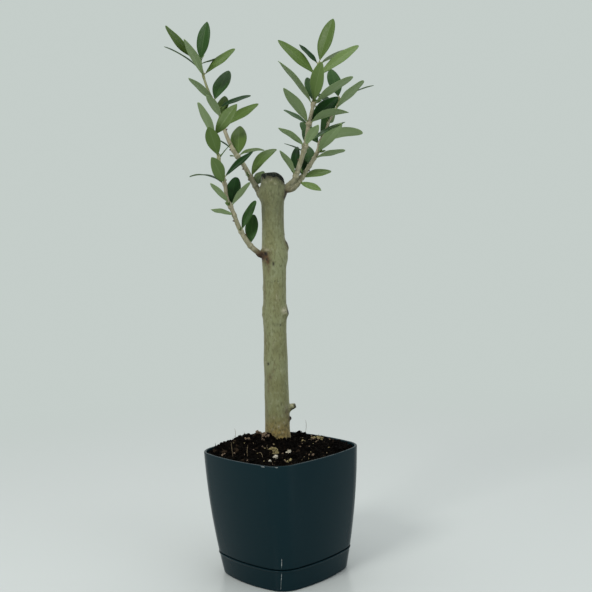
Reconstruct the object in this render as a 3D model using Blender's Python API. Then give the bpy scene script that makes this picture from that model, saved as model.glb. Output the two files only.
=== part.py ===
"""Young olive tree on a straight trunk, in a square pot that stands in its matching saucer.

Metres, +Z up. The origin is the middle of the saucer's flat underside, and a corner of the pot points to -Y.
Driving sizes below are in millimetres and degrees.
"""

import math
import random

import bmesh
import bpy
from mathutils import Quaternion, Vector, noise
from mathutils.bvhtree import BVHTree

MM = 0.001
GAP = 0.3
SEED = 7

# Pot and saucer: one tapering outline, a square with round corners and slightly bowed sides.
HEIGHT = 113.6
RIM_HALF_WIDTH = 60.0
TAPER = 0.057
EXTRA_TAPER = 0.041
RIM_CORNER = 26.4
BASE_CORNER = 24.0
SIDE_BOW = 3.0
CORNER_TO_FRONT = math.radians(45.0)
SIDE_STEPS = 4
CORNER_STEPS = 5
POT_WALL = 2.3
POT_FLOOR = 2.5
RIM_ROUND = 0.6
SAUCER_HEIGHT = 19.9
SAUCER_WALL = 2.2
SAUCER_FLOOR = 2.5
SAUCER_LIP = 0.5
BASE_CHAMFER = 1.0
SEAM = 1.1
FOOT_CLEARANCE = 0.8
POT_FOOT = SAUCER_FLOOR + GAP
SHOULDER = SAUCER_HEIGHT + SEAM

# Soil: heaped at the back and round the trunk, a little lower at the front corner.
SOIL_ABOVE_RIM = 3.4
SOIL_SLOPE = 0.11
SOIL_LOW = -6.0
SOIL_HIGH = 2.0
SOIL_EDGE_DIP = 2.5
SOIL_EDGE_CLEARANCE = 0.9
SOIL_RINGS = 9
CLUMP_SIZE = 7.0
CLUMP_HEIGHT = 2.0

# Trunk: its axis, and its radius at heights above the soil.
TRUNK_FOOT = Vector((-2.6, 14.0, 118.6))
TRUNK_TOP = Vector((3.3, 14.0, 368.0))
TRUNK_BOW = 0.9
TRUNK_SIDES = 16
TRUNK_LOBES = 0.035
TRUNK_RADII = (
    (0, 12.9), (3, 11.9), (9, 11.3), (22, 11.1), (38, 11.3), (54, 10.8), (84, 10.5), (103, 10.4),
    (118, 10.8), (132, 10.8), (146, 10.7), (163, 10.9), (176, 11.2), (188, 10.6), (204, 10.1),
    (219, 10.3), (227, 11.0), (240, 11.4), (246, 10.7), (249.4, 8.6),
)

# Cut stubs and knots on the trunk: height, turn from the right of the view towards the back, reach past
# the bark, radius at the bark, radius at the end, and rise of the stub in degrees.
STUBS = (
    (29, 2, 6.0, 3.8, 2.7, 35),
    (19, -8, 2.0, 2.6, 1.4, 10),
    (121, -4, 2.2, 5.4, 3.2, 0),
    (121, 176, 1.2, 6.0, 3.0, 0),
    (180, 5, 2.2, 7.5, 3.5, 0),
    (174, 215, 2.2, 7.0, 4.2, 10),
)
STUB_SIDES = 9
STUB_SUNK = 3.0

# Shoots: the way each one runs, its radii at the foot and at the tip, and how far up it is a bare bough.
LIMB_SIDES = 8
TWIG_SIDES = 6
TWIG_SPACING = 8.0
SHOOTS = {
    "left_low": {
        "path": ((-11, 8, 293), (-21, 3, 303), (-29, -1, 318), (-34, -3, 333), (-39, -5, 346),
                 (-40, -6, 358), (-44, -8, 380), (-47, -9, 396)),
        "radii": (2.6, 1.0),
        "bough": 10,
    },
    "left_high": {
        "path": ((-9, 14, 345), (-15, 17, 358), (-24, 20, 378), (-32, 22, 392), (-38, 24, 410),
                 (-45, 25, 430), (-52, 24, 443), (-57, 22, 459), (-60, 20, 476)),
        "radii": (2.6, 0.9),
        "bough": 10,
        "split": 82,
    },
    "right_front": {
        "path": ((25, 9, 359), (30, 6, 378), (35, 4, 393), (38, 2, 408), (43, 1, 427), (46, 2, 446),
                 (50, 4, 465)),
        "radii": (2.5, 1.0),
        "split": 63,
    },
    "right_rear": {
        "path": ((28, 13, 356), (36, 17, 371), (45, 22, 385), (49, 26, 396), (57, 30, 414),
                 (66, 33, 429), (69, 34, 439)),
        "radii": (2.3, 0.9),
    },
}
BOUGH_SPACING = 3.0
BOUGH_FLARE = 1.9
BOUGH_SUNK = 9.0
RIGHT_BOUGH = ((11, 13.2, 351.5), (18, 11.3, 353.5))
RIGHT_FORK = ((15, 12.3, 352.0), (21.5, 12.6, 352.0))
RUN_INTO_SHOOT = 3.0
RIGHT_BOUGH_RADII = (3.4, 2.6)

# Leaves of each shoot: distance along the shoot, bearing of the tip from straight up towards +X, lean
# towards the front, length, turn of the blade (0 its top faces the front, 90 edge on, 180 its underside
# does), and the angle through which it arches.
LEAVES = {
    "left_low": (
        (13, 6, -30, 34, 15, 12), (29, 26, -22, 34, 45, 12), (45, -75, 35, 25, 120, 12),
        (53, 42, 20, 30, 118, 12), (54, 10, -36, 35, 5, 10), (56, -39, 36, 29, 126, 8),
        (74, -74, -15, 37, 80, 60), (76, -27, 45, 32, 152, 12), (77, 46, -12, 38, 66, 14),
        (98, 36, -36, 23, 80, 6), (99, -13, 45, 35, 175, 14), (111, -19, 30, 42, 122, 14),
    ),
    "left_high": (
        (13, 40, -35, 20, 10, 10), (22, 43, -16, 39, 45, 40), (44, 70, -28, 30, 73, 45),
        (46, 3, -36, 38, 5, 10), (56, -55, -22, 26, 80, 8), (74, 55, -8, 38, 32, 14),
        (75, -125, 62, 25, 175, 20), (76, 40, 50, 31, 175, 16), (88, -27, 50, 31, 146, 10),
        (90, 7, -54, 30, 38, 10), (91, 58, -20, 36, 66, 14), (105, -50, 38, 34, 124, 24),
        (105, 22, -34, 44, 5, 10), (107, -39, -42, 24, 52, 10), (126, -25, 42, 43, 125, 10),
        (127, 47, -11, 41, 53, 10), (138, -62, 0, 38, 82, 22), (139, 63, -30, 24, 79, 8),
        (141, 12, 0, 38, 20, 14), (142, -42, 0, 46, 63, 18),
    ),
    "right_front": (
        (3, 128, 30, 28, 40, 14), (5, -36, 32, 32, 128, 20), (11, 5, -36, 32, 54, 12),
        (28, -61, -34, 24, 82, 8), (32, -56, 33, 34, 118, 24), (33, -4, -52, 28, 59, 10),
        (34, 42, 45, 29, 139, 12), (35, 62, -14, 44, 69, 14), (52, -52, -26, 31, 60, 12),
        (53, -37, 35, 44, 133, 12), (53, 81, 30, 43, 111, 55), (54, 48, -20, 40, 47, 10),
        (70, -39, 24, 52, 100, 16), (71, 62, 32, 47, 109, 12), (72, 15, 40, 42, 169, 14),
        (73, -8, -36, 33, 26, 10), (100, -48, 0, 47, 49, 12), (101, 60, -12, 47, 51, 12),
        (108, -40, -12, 27, 65, 8), (108, 63, -18, 39, 62, 14), (109, 20, 0, 43, 30, 14),
    ),
    "right_rear": (
        (9, 77, -26, 31, 45, 24), (23, 5, -50, 30, 54, 8), (30, 81, 30, 33, 119, 10),
        (35, 43, -25, 38, 40, 14), (47, 78, -15, 46, 118, 60), (48, 14, -38, 38, 46, 10),
        (67, 23, -52, 32, 50, 10), (67, -22, -46, 34, 46, 10), (83, 50, 38, 42, 117, 10),
        (83, -36, -44, 36, 49, 12), (93, 70, 0, 36, 83, 16), (94, -10, -30, 38, 20, 10),
    ),
}
LEAF_LENGTH_TO_WIDTH = 3.1
LEAF_STEPS = 6
SMALL_LEAF_STEPS = 4
LEAF_ROUNDNESS = 0.75
LEAF_FOLD = 0.16
LEAF_THICKNESS = 0.9
PETIOLE = 0.09
PETIOLE_RADIUS = 0.65
ROOM_ROUND_LEAF = 1.0

# Side twigs: short new growth in the axils, each with one pair of small leaves.
SIDE_TWIG_CHANCE = 0.25
SIDE_TWIG_LENGTH = (3.5, 6.5)
SIDE_TWIG_RADIUS = 0.6
SMALL_LEAF = (8.0, 14.0)


def clear_scene():
    for old in list(bpy.data.objects):
        bpy.data.objects.remove(old, do_unlink=True)


def material(name, colour, roughness, metallic=0.0):
    made = bpy.data.materials.new(name)
    made.use_nodes = True
    shader = made.node_tree.nodes["Principled BSDF"]
    shader.inputs["Base Color"].default_value = (*colour, 1.0)
    shader.inputs["Roughness"].default_value = roughness
    shader.inputs["Metallic"].default_value = metallic
    return made


def solid(name, rings, finish=None, smooth=30.0):
    """A closed solid skinned over rings in millimetres; a ring of one point brings an end to a tip."""
    bm = bmesh.new()
    made = [[bm.verts.new(Vector(point) * MM) for point in ring] for ring in rings]
    for lower, upper in zip(made, made[1:]):
        count = max(len(lower), len(upper))
        for i in range(count):
            j = (i + 1) % count
            corners = [lower[i % len(lower)], lower[j % len(lower)], upper[j % len(upper)], upper[i % len(upper)]]
            bm.faces.new(list(dict.fromkeys(corners)))
    for end in (made[0], made[-1]):
        if len(end) > 2:
            bm.faces.new(end)
    bmesh.ops.recalc_face_normals(bm, faces=bm.faces)
    mesh = bpy.data.meshes.new(name)
    bm.to_mesh(mesh)
    bm.free()
    mesh.shade_smooth()
    mesh.set_sharp_from_angle(angle=math.radians(smooth))
    made_object = bpy.data.objects.new(name, mesh)
    bpy.context.scene.collection.objects.link(made_object)
    if finish:
        mesh.materials.append(finish)
    return made_object


def apply_modifiers(target):
    graph = bpy.context.evaluated_depsgraph_get()
    mesh = bpy.data.meshes.new_from_object(target.evaluated_get(graph))
    target.modifiers.clear()
    target.data = mesh


def join(target, others):
    """Joins closed solids to the target by one Boolean union on their collection, then removes them."""
    group = bpy.data.collections.new("joined")
    bpy.context.scene.collection.children.link(group)
    for other in others:
        bpy.context.scene.collection.objects.unlink(other)
        group.objects.link(other)
    union = target.modifiers.new("Union", "BOOLEAN")
    union.operation = "UNION"
    union.solver = "EXACT"
    union.operand_type = "COLLECTION"
    union.collection = group
    apply_modifiers(target)
    for other in others:
        bpy.data.objects.remove(other, do_unlink=True)
    bpy.data.collections.remove(group)


def cut_clear(target, neighbour):
    """Cuts the target back to the gap round its neighbour."""
    cutter = neighbour.copy()
    cutter.data = neighbour.data.copy()
    bpy.context.scene.collection.objects.link(cutter)
    offsets = [vertex.normal * GAP * MM for vertex in cutter.data.vertices]
    for vertex, offset in zip(cutter.data.vertices, offsets):
        vertex.co += offset
    cut = target.modifiers.new("Cut", "BOOLEAN")
    cut.operation = "DIFFERENCE"
    cut.solver = "EXACT"
    cut.object = cutter
    apply_modifiers(target)
    bpy.data.objects.remove(cutter, do_unlink=True)


def tree_of(target):
    bm = bmesh.new()
    bm.from_mesh(target.data)
    found = BVHTree.FromBMesh(bm)
    bm.free()
    return found


def half_width(z):
    below_rim = HEIGHT - z
    return RIM_HALF_WIDTH - TAPER * below_rim - EXTRA_TAPER * below_rim**2 / HEIGHT


def outline(z, inset=0.0):
    """The pot's outline at a height, set in from its outer face, as points in millimetres."""
    corner = BASE_CORNER + (RIM_CORNER - BASE_CORNER) * z / HEIGHT
    straight = half_width(z) - corner
    side = half_width(z) - inset
    points = []
    for quarter in range(4):
        turn = Quaternion((0, 0, 1), CORNER_TO_FRONT + quarter * math.pi / 2)
        for step in range(SIDE_STEPS):
            t = 2 * step / SIDE_STEPS - 1
            points.append(turn @ Vector((side - SIDE_BOW * t * t, t * straight, 0)))
        for step in range(CORNER_STEPS):
            angle = math.pi / 2 * step / CORNER_STEPS
            reach = corner - SIDE_BOW - inset
            arc = Vector((straight + reach * math.cos(angle), straight + reach * math.sin(angle), 0))
            points.append(turn @ arc)
    return [Vector((point.x, point.y, z)) for point in points]


def make_saucer(finish):
    top = SAUCER_HEIGHT
    rings = [
        outline(0, BASE_CHAMFER + 0.4),
        outline(0.3, BASE_CHAMFER * 0.5),
        outline(BASE_CHAMFER, 0.0),
        outline(SAUCER_HEIGHT / 2, 0.0),
        outline(top - 1.5, 0.0),
        outline(top - 0.7, -SAUCER_LIP),
        outline(top, 0.2 - SAUCER_LIP),
        outline(top, SAUCER_WALL - 0.3),
        outline(top - 0.5, SAUCER_WALL),
        outline(SAUCER_FLOOR, SAUCER_WALL),
    ]
    return solid("saucer", rings, finish)


def make_pot(finish):
    foot_inset = SAUCER_WALL + FOOT_CLEARANCE
    inner_step = SHOULDER + POT_WALL
    floor = POT_FOOT + POT_FLOOR
    rings = [
        outline(POT_FOOT, foot_inset),
        outline(SHOULDER, foot_inset),
        outline(SHOULDER, 0.5),
        outline(SHOULDER + 0.5, 0.0),
        outline(45, 0.0),
        outline(68, 0.0),
        outline(91, 0.0),
        outline(HEIGHT - RIM_ROUND, 0.0),
        outline(HEIGHT, RIM_ROUND),
        outline(HEIGHT, POT_WALL - RIM_ROUND),
        outline(HEIGHT - RIM_ROUND, POT_WALL),
        outline(68, POT_WALL),
        outline(inner_step, POT_WALL),
        outline(inner_step, foot_inset + POT_WALL),
        outline(floor, foot_inset + POT_WALL),
    ]
    return solid("pot", rings, finish)


def soil_level(point):
    """Height of the soil's surface, with its clumps, at a point of the pot's mouth."""
    heap = min(SOIL_HIGH, max(SOIL_LOW, SOIL_SLOPE * point.y))
    clump = noise.noise(Vector((point.x, point.y, 0)) / CLUMP_SIZE)
    return HEIGHT + SOIL_ABOVE_RIM + heap + CLUMP_HEIGHT * clump


def make_soil(finish):
    inner_step = SHOULDER + POT_WALL
    narrow = SAUCER_WALL + FOOT_CLEARANCE + POT_WALL + GAP
    wide = POT_WALL + GAP
    edge_z = HEIGHT - SOIL_EDGE_DIP
    rings = [
        outline(POT_FOOT + POT_FLOOR + GAP, narrow),
        outline(inner_step + GAP, narrow),
        outline(inner_step + GAP, wide),
        outline(68, wide),
    ]
    edge = outline(edge_z, wide + SOIL_EDGE_CLEARANCE)
    spot = TRUNK_FOOT - Vector((0, 0, GAP))
    spot_radius = TRUNK_RADII[0][1] + 1.5
    rings.append([Vector((p.x, p.y, min(edge_z, soil_level(p) - SOIL_EDGE_DIP))) for p in edge])
    for ring in range(1, SOIL_RINGS + 1):
        share = (ring / SOIL_RINGS) ** 0.9
        row = []
        for p in edge:
            out = Vector((p.x - spot.x, p.y - spot.y, 0))
            flat = Vector((spot.x, spot.y, 0)) + out.lerp(out.normalized() * spot_radius, share)
            z = spot.z if ring == SOIL_RINGS else soil_level(flat)
            row.append(Vector((flat.x, flat.y, z)))
        rings.append(row)
    return solid("soil", rings, finish)


def ring_round(centre, direction, radius, sides, lobes=None):
    """Points round a limb's axis; lobes is a function from an angle to a share of the radius."""
    turn = Vector((0, 0, 1)).rotation_difference(direction)
    points = []
    for side in range(sides):
        angle = 2 * math.pi * side / sides
        reach = radius * (lobes(angle) if lobes else 1.0)
        points.append(centre + turn @ Vector((reach * math.cos(angle), reach * math.sin(angle), 0)))
    return points


def trunk_axis(height):
    """The trunk's axis at a height above the soil: a slight bow on a straight lean."""
    share = height / (TRUNK_TOP.z - TRUNK_FOOT.z)
    bow = TRUNK_BOW * math.sin(2 * math.pi * share)
    return TRUNK_FOOT.lerp(TRUNK_TOP, share) + Vector((-bow, 0.6 * bow, 0))


def trunk_radius(height):
    for (low, first), (high, second) in zip(TRUNK_RADII, TRUNK_RADII[1:]):
        if height <= high:
            return first + (second - first) * (height - low) / (high - low)
    return TRUNK_RADII[-1][1]


def make_trunk(finish):
    rings = []
    for height, radius in TRUNK_RADII:
        shift = height / 60

        def lobes(angle, shift=shift):
            return 1 + TRUNK_LOBES * (0.6 * math.cos(2 * angle + shift) + 0.4 * math.cos(3 * angle - 2 * shift))

        rings.append(ring_round(trunk_axis(height), Vector((0, 0, 1)), radius, TRUNK_SIDES, lobes))
    trunk = solid("trunk", rings, finish, 50.0)
    stubs = []
    for height, turn, reach, root, end, rise in STUBS:
        level = Vector((math.cos(math.radians(turn)), math.sin(math.radians(turn)), 0))
        way = level * math.cos(math.radians(rise)) + Vector((0, 0, math.sin(math.radians(rise))))
        bark = trunk_axis(height) + level * trunk_radius(height)
        stubs.append(solid("stub", [
            ring_round(bark - way * STUB_SUNK, way, root * 1.15, STUB_SIDES),
            ring_round(bark + way * reach * 0.5, way, (root + end) / 2, STUB_SIDES),
            ring_round(bark + way * reach, way, end, STUB_SIDES),
        ]))
    join(trunk, stubs)
    return trunk


def smooth_path(points, spacing=1.0):
    """Evenly spaced points along a smooth curve through the given ones."""
    knots = [Vector(point) for point in points]
    knots = [2 * knots[0] - knots[1], *knots, 2 * knots[-1] - knots[-2]]
    dense = []
    for a, b, c, d in zip(knots, knots[1:], knots[2:], knots[3:]):
        for step in range(24):
            t = step / 24
            dense.append(0.5 * (2 * b + (c - a) * t + (2 * a - 5 * b + 4 * c - d) * t**2
                                + (3 * b - a - 3 * c + d) * t**3))
    dense.append(knots[-2])
    even = [dense[0]]
    walked = 0.0
    for here, there in zip(dense, dense[1:]):
        span = (there - here).length
        while walked + span >= spacing * len(even):
            even.append(here.lerp(there, (spacing * len(even) - walked) / span))
        walked += span
    return even


def on_path(path, distance):
    """Point and direction on a path whose points are a millimetre apart."""
    index = max(0, min(len(path) - 2, int(distance)))
    step = path[index + 1] - path[index]
    return path[index] + step * (distance - index), step.normalized()


def path_into_shoot(points, shoot):
    """A bough's path that turns into the start of the shoot that it carries."""
    start, way = on_path(smooth_path(SHOOTS[shoot]["path"]), 0)
    return smooth_path((*points, start - way * RUN_INTO_SHOOT, start))


def limb_rings(path, start, end, radii, sides, spacing):
    """Rings along a stretch of a path, whose radii run from the path's first to its last."""
    count = max(2, round((end - start) / spacing) + 1)
    rings = []
    for i in range(count):
        at = start + (end - start) * i / (count - 1)
        centre, way = on_path(path, at)
        radius = radii[0] + (radii[1] - radii[0]) * at / (len(path) - 1)
        rings.append(ring_round(centre, way, radius, sides))
    return rings


def make_bough(name, path, length, radii, trunk, finish, extra=()):
    """A bough with a flared root cut to the trunk, and any fork fused to it."""
    rings = limb_rings(path, 0, length, radii, LIMB_SIDES, BOUGH_SPACING)
    centre, way = on_path(path, 0)
    height = centre.z - TRUNK_FOOT.z
    inward = trunk_axis(height) - centre
    root = centre + (inward.normalized() * 0.7 - way * 0.7).normalized() * BOUGH_SUNK
    rings.insert(0, ring_round(root, (centre - root).normalized(), radii[0] * BOUGH_FLARE, LIMB_SIDES))
    bough = solid(name, rings, finish, 50.0)
    if extra:
        join(bough, list(extra))
    cut_clear(bough, trunk)
    return bough


def leaf_rings(root, bearing, lean, length, facing, arch, upwards, margin=0.0, steps=LEAF_STEPS):
    """Rings along an arching, folded blade on its petiole, from its root in the twig to its tip."""
    side_angle, lean_angle = math.radians(bearing), math.radians(lean)
    chord = Vector((math.sin(side_angle) * math.cos(lean_angle), -math.sin(lean_angle),
                    math.cos(side_angle) * math.cos(lean_angle)))
    front = Vector((0, -1, 0))
    towards = front - chord * chord.dot(front)
    if towards.length < 0.2:
        towards = Vector((0, 0, 1)) - chord * chord.z
    towards.normalize()
    across = chord.cross(towards)
    if across.dot(upwards) < 0:
        across.negate()
    face = math.radians(facing)
    top = (towards * math.cos(face) + across * math.sin(face)).normalized()
    hinge = chord.cross(top)
    bend = math.radians(arch)
    width = length / LEAF_LENGTH_TO_WIDTH
    rings = []
    for step in range(steps + 1):
        share = (1 - math.cos(math.pi * step / steps)) / 2
        angle = bend * (0.5 - share)
        forward = chord * (math.sin(bend / 2) - math.sin(angle))
        sideways = top * (math.cos(angle) - math.cos(bend / 2))
        centre = root + (forward + sideways) * length / bend
        if step == steps:
            rings.append([centre])
            break
        normal = top * math.cos(angle) - chord * math.sin(angle)
        blade = max(0.0, (share - PETIOLE) / (1 - PETIOLE))
        half = max(PETIOLE_RADIUS, width / 2 * math.sin(math.pi * blade) ** LEAF_ROUNDNESS) + margin
        thick = LEAF_THICKNESS / 2 * (1.2 - 0.4 * share) + margin
        rise = normal * half * LEAF_FOLD
        rings.append([
            centre - hinge * half + rise,
            centre + normal * thick,
            centre + hinge * half + rise,
            centre - normal * thick,
        ])
    return rings


def make_side_twig(base, way, chance):
    """A short twig in an axil with one pair of small leaves at its end."""
    side = Quaternion(way, chance.uniform(0, 2 * math.pi)) @ way.orthogonal().normalized()
    growth = (way * 0.8 + side).normalized()
    length = chance.uniform(*SIDE_TWIG_LENGTH)
    tip = base + growth * length
    pieces = [[ring_round(base, growth, SIDE_TWIG_RADIUS * 1.2, 4), ring_round(tip, growth, SIDE_TWIG_RADIUS, 4)]]
    for bend in (-1, 1):
        out = (growth + side.cross(growth) * bend * 0.45).normalized()
        lean = math.degrees(math.asin(max(-1, min(1, -out.y))))
        bearing = math.degrees(math.atan2(out.x, out.z))
        small = chance.uniform(*SMALL_LEAF)
        facing = chance.uniform(20, 70)
        blade = leaf_rings(tip - growth, bearing, lean, small, facing, 10, growth, steps=SMALL_LEAF_STEPS)
        pieces.append(blade)
    return pieces


def touches(rings, neighbours):
    probe = solid("probe", rings)
    found = tree_of(probe)
    bpy.data.objects.remove(probe, do_unlink=True)
    return any(found.overlap(neighbour) for neighbour in neighbours)


def stretches_of(shoot):
    """Name, start and end of each stretch of a shoot that is a node of its own, in millimetres along it."""
    design = SHOOTS[shoot]
    whole = len(smooth_path(design["path"])) - 1
    start = design.get("bough", 0.0) + GAP
    if "split" not in design:
        return [(f"foliage_{shoot}", start, whole)]
    split = design["split"]
    side = shoot.split("_")[0]
    return [(f"foliage_{shoot}", start, split), (f"foliage_{side}_top", split + GAP, whole)]


def make_twig(name, shoot, start, end, finish):
    design = SHOOTS[shoot]
    rings = limb_rings(smooth_path(design["path"]), start, end, design["radii"], TWIG_SIDES, TWIG_SPACING)
    return solid(name, rings, finish, 50.0)


def dress(twig, shoot, start, end, neighbours, chance):
    """Joins a stretch's leaves and side twigs to its twig, all but those that would touch a neighbour."""
    path = smooth_path(SHOOTS[shoot]["path"])
    whole = len(path) - 1
    added = []
    for at, bearing, lean, length, facing, arch in LEAVES[shoot]:
        if at < start or end <= at and end < whole:
            continue
        base, way = on_path(path, min(at, end - 1))
        wish = (bearing, lean, length, facing, arch, way)
        if not touches(leaf_rings(base, *wish, margin=ROOM_ROUND_LEAF), neighbours):
            added.append(solid("leaf", leaf_rings(base, *wish)))
        if chance.random() < SIDE_TWIG_CHANCE:
            pieces = make_side_twig(base, way, chance)
            if not any(touches(piece, neighbours) for piece in pieces):
                added.extend(solid("side_twig", piece) for piece in pieces)
    join(twig, added)


def make_boughs(trunk, finish):
    boughs = []
    for side in ("left_low", "left_high"):
        design = SHOOTS[side]
        path = smooth_path(design["path"])
        boughs.append(make_bough(f"bough_{side}", path, design["bough"], design["radii"], trunk, finish))
    fork = path_into_shoot(RIGHT_FORK, "right_rear")
    spur = solid("fork", limb_rings(fork, 0, len(fork) - 1, RIGHT_BOUGH_RADII, LIMB_SIDES, BOUGH_SPACING))
    right = path_into_shoot(RIGHT_BOUGH, "right_front")
    boughs.append(make_bough("bough_right", right, len(right) - 1, RIGHT_BOUGH_RADII, trunk, finish, [spur]))
    return boughs


def make_foliage(limbs, finish):
    chance = random.Random(SEED)
    stretches = [(shoot, *stretch) for shoot in SHOOTS for stretch in stretches_of(shoot)]
    twigs = [make_twig(name, shoot, low, high, finish) for shoot, name, low, high in stretches]
    for twig, (shoot, _, low, high) in zip(twigs, stretches):
        neighbours = [tree_of(other) for other in limbs + twigs if other is not twig]
        dress(twig, shoot, low, high, neighbours, chance)


def build():
    clear_scene()
    glaze = material("pot_plastic", (0.012, 0.028, 0.036), 0.35)
    peat = material("soil", (0.012, 0.010, 0.009), 0.95)
    bark = material("bark", (0.20, 0.20, 0.12), 0.8)
    leafage = material("leaves", (0.06, 0.13, 0.04), 0.45)
    make_saucer(glaze)
    make_pot(glaze)
    make_soil(peat)
    trunk = make_trunk(bark)
    make_foliage([trunk, *make_boughs(trunk, bark)], leafage)


build()
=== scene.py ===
"""Looks of a young olive tree in a square pot: pot, soil, barked trunk, leafy shoots, stage and light.

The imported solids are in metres. The shapes here are worked out in millimetres, from the same sizes and by
the same rules as the solids, and become metres when they are made into meshes.
"""

import math
import random

import bmesh
import bpy
import numpy as np
from mathutils import Matrix, Quaternion, Vector, noise


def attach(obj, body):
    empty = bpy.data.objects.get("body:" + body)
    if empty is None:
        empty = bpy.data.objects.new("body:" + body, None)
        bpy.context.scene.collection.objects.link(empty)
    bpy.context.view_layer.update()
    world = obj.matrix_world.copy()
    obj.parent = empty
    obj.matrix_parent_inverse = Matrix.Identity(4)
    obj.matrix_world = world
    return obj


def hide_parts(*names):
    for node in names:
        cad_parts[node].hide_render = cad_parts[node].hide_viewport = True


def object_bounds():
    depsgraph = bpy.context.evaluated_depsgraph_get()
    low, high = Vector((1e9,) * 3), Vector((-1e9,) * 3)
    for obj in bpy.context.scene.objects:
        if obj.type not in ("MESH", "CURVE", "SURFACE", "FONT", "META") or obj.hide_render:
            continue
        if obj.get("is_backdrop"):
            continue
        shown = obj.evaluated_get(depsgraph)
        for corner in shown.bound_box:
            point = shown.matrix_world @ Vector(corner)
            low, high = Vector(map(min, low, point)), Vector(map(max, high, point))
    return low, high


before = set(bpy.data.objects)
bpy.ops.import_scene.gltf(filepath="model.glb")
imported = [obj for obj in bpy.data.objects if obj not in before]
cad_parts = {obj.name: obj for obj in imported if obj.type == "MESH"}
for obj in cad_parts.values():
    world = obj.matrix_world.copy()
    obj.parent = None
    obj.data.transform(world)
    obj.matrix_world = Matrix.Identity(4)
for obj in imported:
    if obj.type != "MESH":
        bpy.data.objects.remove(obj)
packed_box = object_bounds()

MM = 0.001
GAP = 0.3
SEED = 7

# Camera: place in millimetres, dip and roll in degrees, focal length for a 36 mm sensor.
CAMERA_PLACE = Vector((20.22, -780.44, 292.12))
CAMERA_DIP = 2.824
CAMERA_ROLL = 2.383
FOCAL_LENGTH = 51.69
SENSOR = 36.0

# Stage and light: the floor's colour, roughness and shine, and how far out it fades into the backdrop; the
# room, which brightens towards the back and the top; lights as place, size, watts and tint.
BACKDROP = (0.556, 0.614, 0.588)
FLOOR_LOOK = ((0.50, 0.535, 0.522), 0.24, 0.35)
FLOOR_RADIUS = 6.0
FADE = (0.30, 1.10)
ROOM_FRONT = (0.20, 0.21, 0.21)
ROOM_BACK = (0.66, 0.70, 0.68)
ROOM_TOP = (0.90, 0.92, 0.94)
BRIGHTER_BACK = (-0.3, 0.7)
BRIGHTER_UP = (0.2, 0.9)
AIM = Vector((0.0, 0.0, 0.25))
LIGHTS = {
    "key": ((-0.9, -1.1, 1.35), 0.60, 17.0, (1.0, 0.985, 0.95)),
    "fill": ((1.2, -1.0, 0.6), 1.0, 7.0, (0.96, 0.98, 1.0)),
    "top": ((0.1, 0.2, 1.9), 0.9, 5.0, (1.0, 1.0, 1.0)),
}

# Pot and saucer.
HEIGHT = 113.6
RIM_HALF_WIDTH = 60.0
TAPER = 0.030
EXTRA_TAPER = 0.063
RIM_CORNER = 26.4
BASE_CORNER = 24.0
SIDE_BOW = 3.0
CORNER_TO_FRONT = math.radians(45.0)
SIDE_STEPS = 14
CORNER_STEPS = 20
POT_WALL = 2.3
POT_FLOOR = 2.5
SAUCER_HEIGHT = 19.9
SAUCER_WALL = 2.2
SAUCER_FLOOR = 2.5
SAUCER_LIP = 0.5
SEAM = 1.1
FOOT_CLEARANCE = 0.8
POT_FOOT = SAUCER_FLOOR + GAP
SHOULDER = SAUCER_HEIGHT + SEAM
EDGE_ROUND = 0.75
EDGE_STEPS = 5
SAUCER_FOOT_ROUND = 1.3
SAUCER_LIP_ROUNDS = (0.55, 0.6)
SHOULDER_ROUND = 0.5
WALL_RINGS = 16

# Painted highlights on the pot's front, as thin pale lines: heights and places across of the moulding line,
# and places along the rim.
GLINT_LINES = ((2.6, 18.4, -3.5, -2.0), (22.6, 31.5, -1.9, -1.4))
GLINT_RIM = ((-16.0, -11.5), (-3.5, -0.5))
GLINT_RADIUS = 0.3

# Soil.
SOIL_ABOVE_RIM = 1.0
SOIL_SLOPE = 0.052
SOIL_LOW = -3.6
SOIL_HIGH = 0.0
SOIL_EDGE_DIP = 2.5
SOIL_EDGE_CLEARANCE = 0.9
SOIL_EDGE_SLOPE = 8.0
SOIL_RINGS = 54
SOIL_REACH = 66.0
CLUMP_SIZE = 7.0
CLUMP_HEIGHT = 2.0
BED_GRAIN = 3.2
BED_RELIEF = 0.9

# Crumbs: how many, smallest and largest radius and fineness; their shares of the finishes; those that lean
# on the trunk's foot; and how far crumbs and grains keep from the trunk's axis.
CRUMB_SIZES = ((160, 1.2, 2.3, 2), (950, 0.7, 1.2, 2), (3600, 0.35, 0.7, 1))
CRUMB_SHARES = (0.74, 0.22, 0.04)
CRUMB_SUNK = (-0.35, 0.45)
FOOT_CRUMBS = 150
FOOT_CRUMB_RADII = (0.5, 1.15)
FOOT_CRUMB_REACH = (12.0, 13.8)
FOOT_CRUMB_RISE = 1.6
FOOT_CRUMB_SHARES = (0.7, 0.3)
CRUMBS_CLEAR = 12.2
GRAINS_CLEAR = 13.5

# Heaps of soil round the trunk and at its foot: place, radius and height.
SOIL_HEAPS = (
    (-2.0, 8.0, 26.0, 4.2), (-12.5, 4.0, 6.5, 7.0), (-2.0, -1.0, 5.5, 2.2), (10.5, 5.0, 4.0, 1.5),
    (-30.0, 30.0, 16.0, 2.5), (-50.0, 11.0, 9.0, 3.6), (-38.0, 24.0, 9.0, 3.4), (-24.0, 38.0, 9.0, 2.0),
    (19.0, 49.0, 3.2, 3.0),
)

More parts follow.
